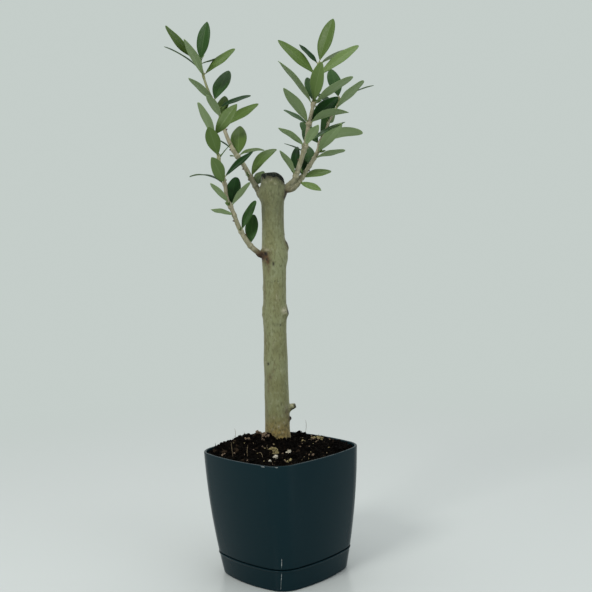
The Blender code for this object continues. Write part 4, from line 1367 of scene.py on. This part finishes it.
def make_stretch(shoot, node, start, end, chance, detail, twig_finishes, leaf_finishes):
    """The twig of one stretch of a shoot, and its leaves, buds and side twigs."""
    path = smooth_path(SHOOTS[shoot]["path"])
    whole = len(path) - 1
    first, last = SHOOTS[shoot]["radii"]
    twigs, leaves = Shape(), Shape()

    def radius_at(at):
        swell = sum(math.exp(-(((at - row[0]) / NODE_SPREAD) ** 2)) for row in LEAVES[shoot])
        return (first + (last - first) * at / whole) * (1 + NODE_SWELL * swell)

    def kind_at(at):
        return 0 if at < OLDER_BARK_TO * whole else 1 if at < BARK_TO * whole else GREEN_TWIG

    sweep(twigs, path, start - JOINT_OVERLAP, min(whole, end + GAP), radius_at, TWIG_SIDES, kind_at)
    for at, *leaf in LEAVES[shoot]:
        if at < start or end <= at and end < whole:
            continue
        base, way = on_path(path, min(at, end - 1))
        add_leaf(leaves, base, leaf, way, detail)
        chord = leaf_axes(leaf[0], leaf[1], leaf[3], way)[0]
        away = (chord - way * chord.dot(way)).normalized()
        bark = base + away * radius_at(at) * 0.8 + way * 1.1
        add_bud(twigs, bark, (way + away * 0.55).normalized(), 0.85, BUD_SCALE)
        if chance.random() < SIDE_TWIG_CHANCE:
            add_side_twig(twigs, leaves, base, way, chance, detail)
    for at, bearing in BUD_SCARS[shoot]:
        if start <= at < end:
            base, way = on_path(path, at)
            side = Vector((math.sin(math.radians(bearing)), -0.35, math.cos(math.radians(bearing))))
            side = (side - way * side.dot(way)).normalized()
            bark = base + side * radius_at(at) * 0.8
            add_bud(twigs, bark, (side + way * 0.5).normalized(), 1.25, BUD_SCAR)
    if end == whole:
        tip, way = on_path(path, whole)
        add_bud(twigs, tip - way * 0.4, way, 1.3, BUD_SCALE)
    twigs.piece(node.replace("foliage", "twigs"), twig_finishes, "twigs", [node], 60.0)
    leaves.piece(node.replace("foliage", "leaves"), leaf_finishes, "leaves", [node], 60.0)


def make_foliage(twig_finishes, leaf_finishes):
    chance = random.Random(SEED)
    detail = random.Random(SEED + 1)
    for shoot in SHOOTS:
        for node, start, end in stretches_of(shoot):
            make_stretch(shoot, node, start, end, chance, detail, twig_finishes, leaf_finishes)


def make_camera():
    dip, roll = math.radians(CAMERA_DIP), math.radians(CAMERA_ROLL)
    look = Vector((0, math.cos(dip), -math.sin(dip)))
    level_up = Vector((0, math.sin(dip), math.cos(dip)))
    side = Vector((1, 0, 0))
    right = side * math.cos(roll) - level_up * math.sin(roll)
    up = level_up * math.cos(roll) + side * math.sin(roll)
    data = bpy.data.cameras.new("camera")
    data.sensor_width = SENSOR
    data.lens = FOCAL_LENGTH
    data.clip_start = 0.01
    camera = put_in_scene("camera", data)
    turn = Matrix((right, up, -look)).transposed().to_4x4()
    camera.matrix_world = Matrix.Translation(CAMERA_PLACE * MM) @ turn
    bpy.context.scene.camera = camera


def make_floor():
    """A wide pale floor, a little glossy, that fades into the backdrop's colour with distance."""
    bm = bmesh.new()
    bmesh.ops.create_circle(bm, cap_ends=True, segments=96, radius=FLOOR_RADIUS)
    mesh = bpy.data.meshes.new("floor")
    bm.to_mesh(mesh)
    bm.free()
    finish = Finish("floor", *FLOOR_LOOK)
    far = finish.add("VectorMath", "Value", {0: finish.place}, operation="LENGTH")
    glow = finish.add("Emission", "Emission", {"Color": BACKDROP})
    layers = {0: finish.spread(far, *FADE), 1: finish.shader.outputs["BSDF"], 2: glow}
    surface = finish.add("MixShader", "Shader", layers)
    finish.put(surface, finish.tree.nodes["Material Output"].inputs["Surface"])
    mesh.materials.append(finish.material)
    floor = put_in_scene("floor", mesh)
    floor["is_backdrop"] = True


def make_world():
    """A plain backdrop; the room that lights the plant is darker in front and brighter behind and above."""
    world = bpy.data.worlds.new("room")
    bpy.context.scene.world = world
    world.use_nodes = True
    nodes = Nodes(world.node_tree)
    way = nodes.add("TexCoord", "Generated", {})
    back = nodes.spread(nodes.add("SeparateXYZ", "Y", {0: way}), *BRIGHTER_BACK)
    above = nodes.spread(nodes.add("SeparateXYZ", "Z", {0: way}), *BRIGHTER_UP)
    room = nodes.blend(above, nodes.blend(back, ROOM_FRONT, ROOM_BACK), ROOM_TOP)
    lit = world.node_tree.nodes["Background"]
    nodes.put(room, lit.inputs["Color"])
    plain = nodes.add("Background", "Background", {"Color": BACKDROP})
    seen = nodes.add("LightPath", "Is Camera Ray", {})
    surface = nodes.add("MixShader", "Shader", {0: seen, 1: lit.outputs["Background"], 2: plain})
    nodes.put(surface, world.node_tree.nodes["World Output"].inputs["Surface"])


def make_lights():
    for name, (place, size, watts, tint) in LIGHTS.items():
        data = bpy.data.lights.new(name, "AREA")
        data.shape = "DISK"
        data.size = size
        data.energy = watts
        data.color = tint
        light = put_in_scene(name, data)
        light.location = place
        light.rotation_mode = "QUATERNION"
        light.rotation_quaternion = (AIM - Vector(place)).to_track_quat("-Z", "Y")
        light.visible_camera = False


def make_pot_and_soil():
    plastic = pot_finish()
    make_saucer(plastic)
    make_pot(plastic)
    make_painted_glints(glint_finish())
    make_soil_bed(peat_finish("peat", (0.0016, 0.0014, 0.0011), (0.0044, 0.0033, 0.0024), 5.0))
    make_crumbs([
        peat_finish("black crumbs", (0.0015, 0.0013, 0.0011), (0.0040, 0.0030, 0.0023), 2.5),
        peat_finish("dark crumbs", (0.0032, 0.0026, 0.0020), (0.0075, 0.0056, 0.0040), 2.5),
        peat_finish("brown crumbs", (0.0150, 0.0105, 0.0068), (0.0360, 0.0245, 0.0150), 2.5),
    ])
    make_grains([
        grain_finish("white grains", (0.45, 0.43, 0.35), (0.24, 0.21, 0.14), 1.6),
        grain_finish("yellow grains", (0.25, 0.21, 0.095), (0.045, 0.034, 0.016), 1.0),
        grain_finish("tan grains", (0.185, 0.132, 0.088), (0.040, 0.028, 0.018), 1.0),
    ])
    make_fibres([
        peat_finish("peat fibres", (0.0060, 0.0045, 0.0035), (0.0180, 0.0125, 0.0080), 1.2),
        grain_finish("pale fibres", (0.22, 0.17, 0.10), (0.12, 0.09, 0.05), 1.2),
    ])


def make_tree():
    make_trunk(bark_finish())
    make_paste(paste_finish())
    old_bark = young_bark_finish("shoot bark", (0.225, 0.215, 0.132), (0.318, 0.303, 0.205))
    make_boughs([old_bark])
    twig_finishes = [
        old_bark,
        young_bark_finish("twig bark", (0.250, 0.225, 0.145), (0.330, 0.305, 0.210)),
        young_bark_finish("green twig", (0.215, 0.235, 0.105), (0.300, 0.300, 0.170)),
        young_bark_finish("bud scales", (0.190, 0.175, 0.075), (0.280, 0.250, 0.130), 0.8),
        young_bark_finish("bud scars", (0.050, 0.028, 0.018), (0.110, 0.065, 0.040), 0.8),
    ]
    leaf_finishes = []
    for part, (title, roughness, shine) in enumerate(LEAF_PARTS):
        for age, *tints, top_shine in LEAF_LOOKS:
            leaf_finishes.append(leaf_finish(f"{age} {title}", tints[part], roughness, shine or top_shine))
    leaf_finishes.append(leaf_finish("petiole", PETIOLE_TINT, 0.5, 0.2))
    make_foliage(twig_finishes, leaf_finishes)


def write_sizes():
    sizes = {"cad": packed_box, "visual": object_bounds()}
    plain = {name: [list(corner) for corner in box] for name, box in sizes.items()}


make_camera()
make_world()
make_lights()
make_floor()
make_pot_and_soil()
make_tree()
bpy.context.scene.view_settings.view_transform = "Standard"
write_sizes()
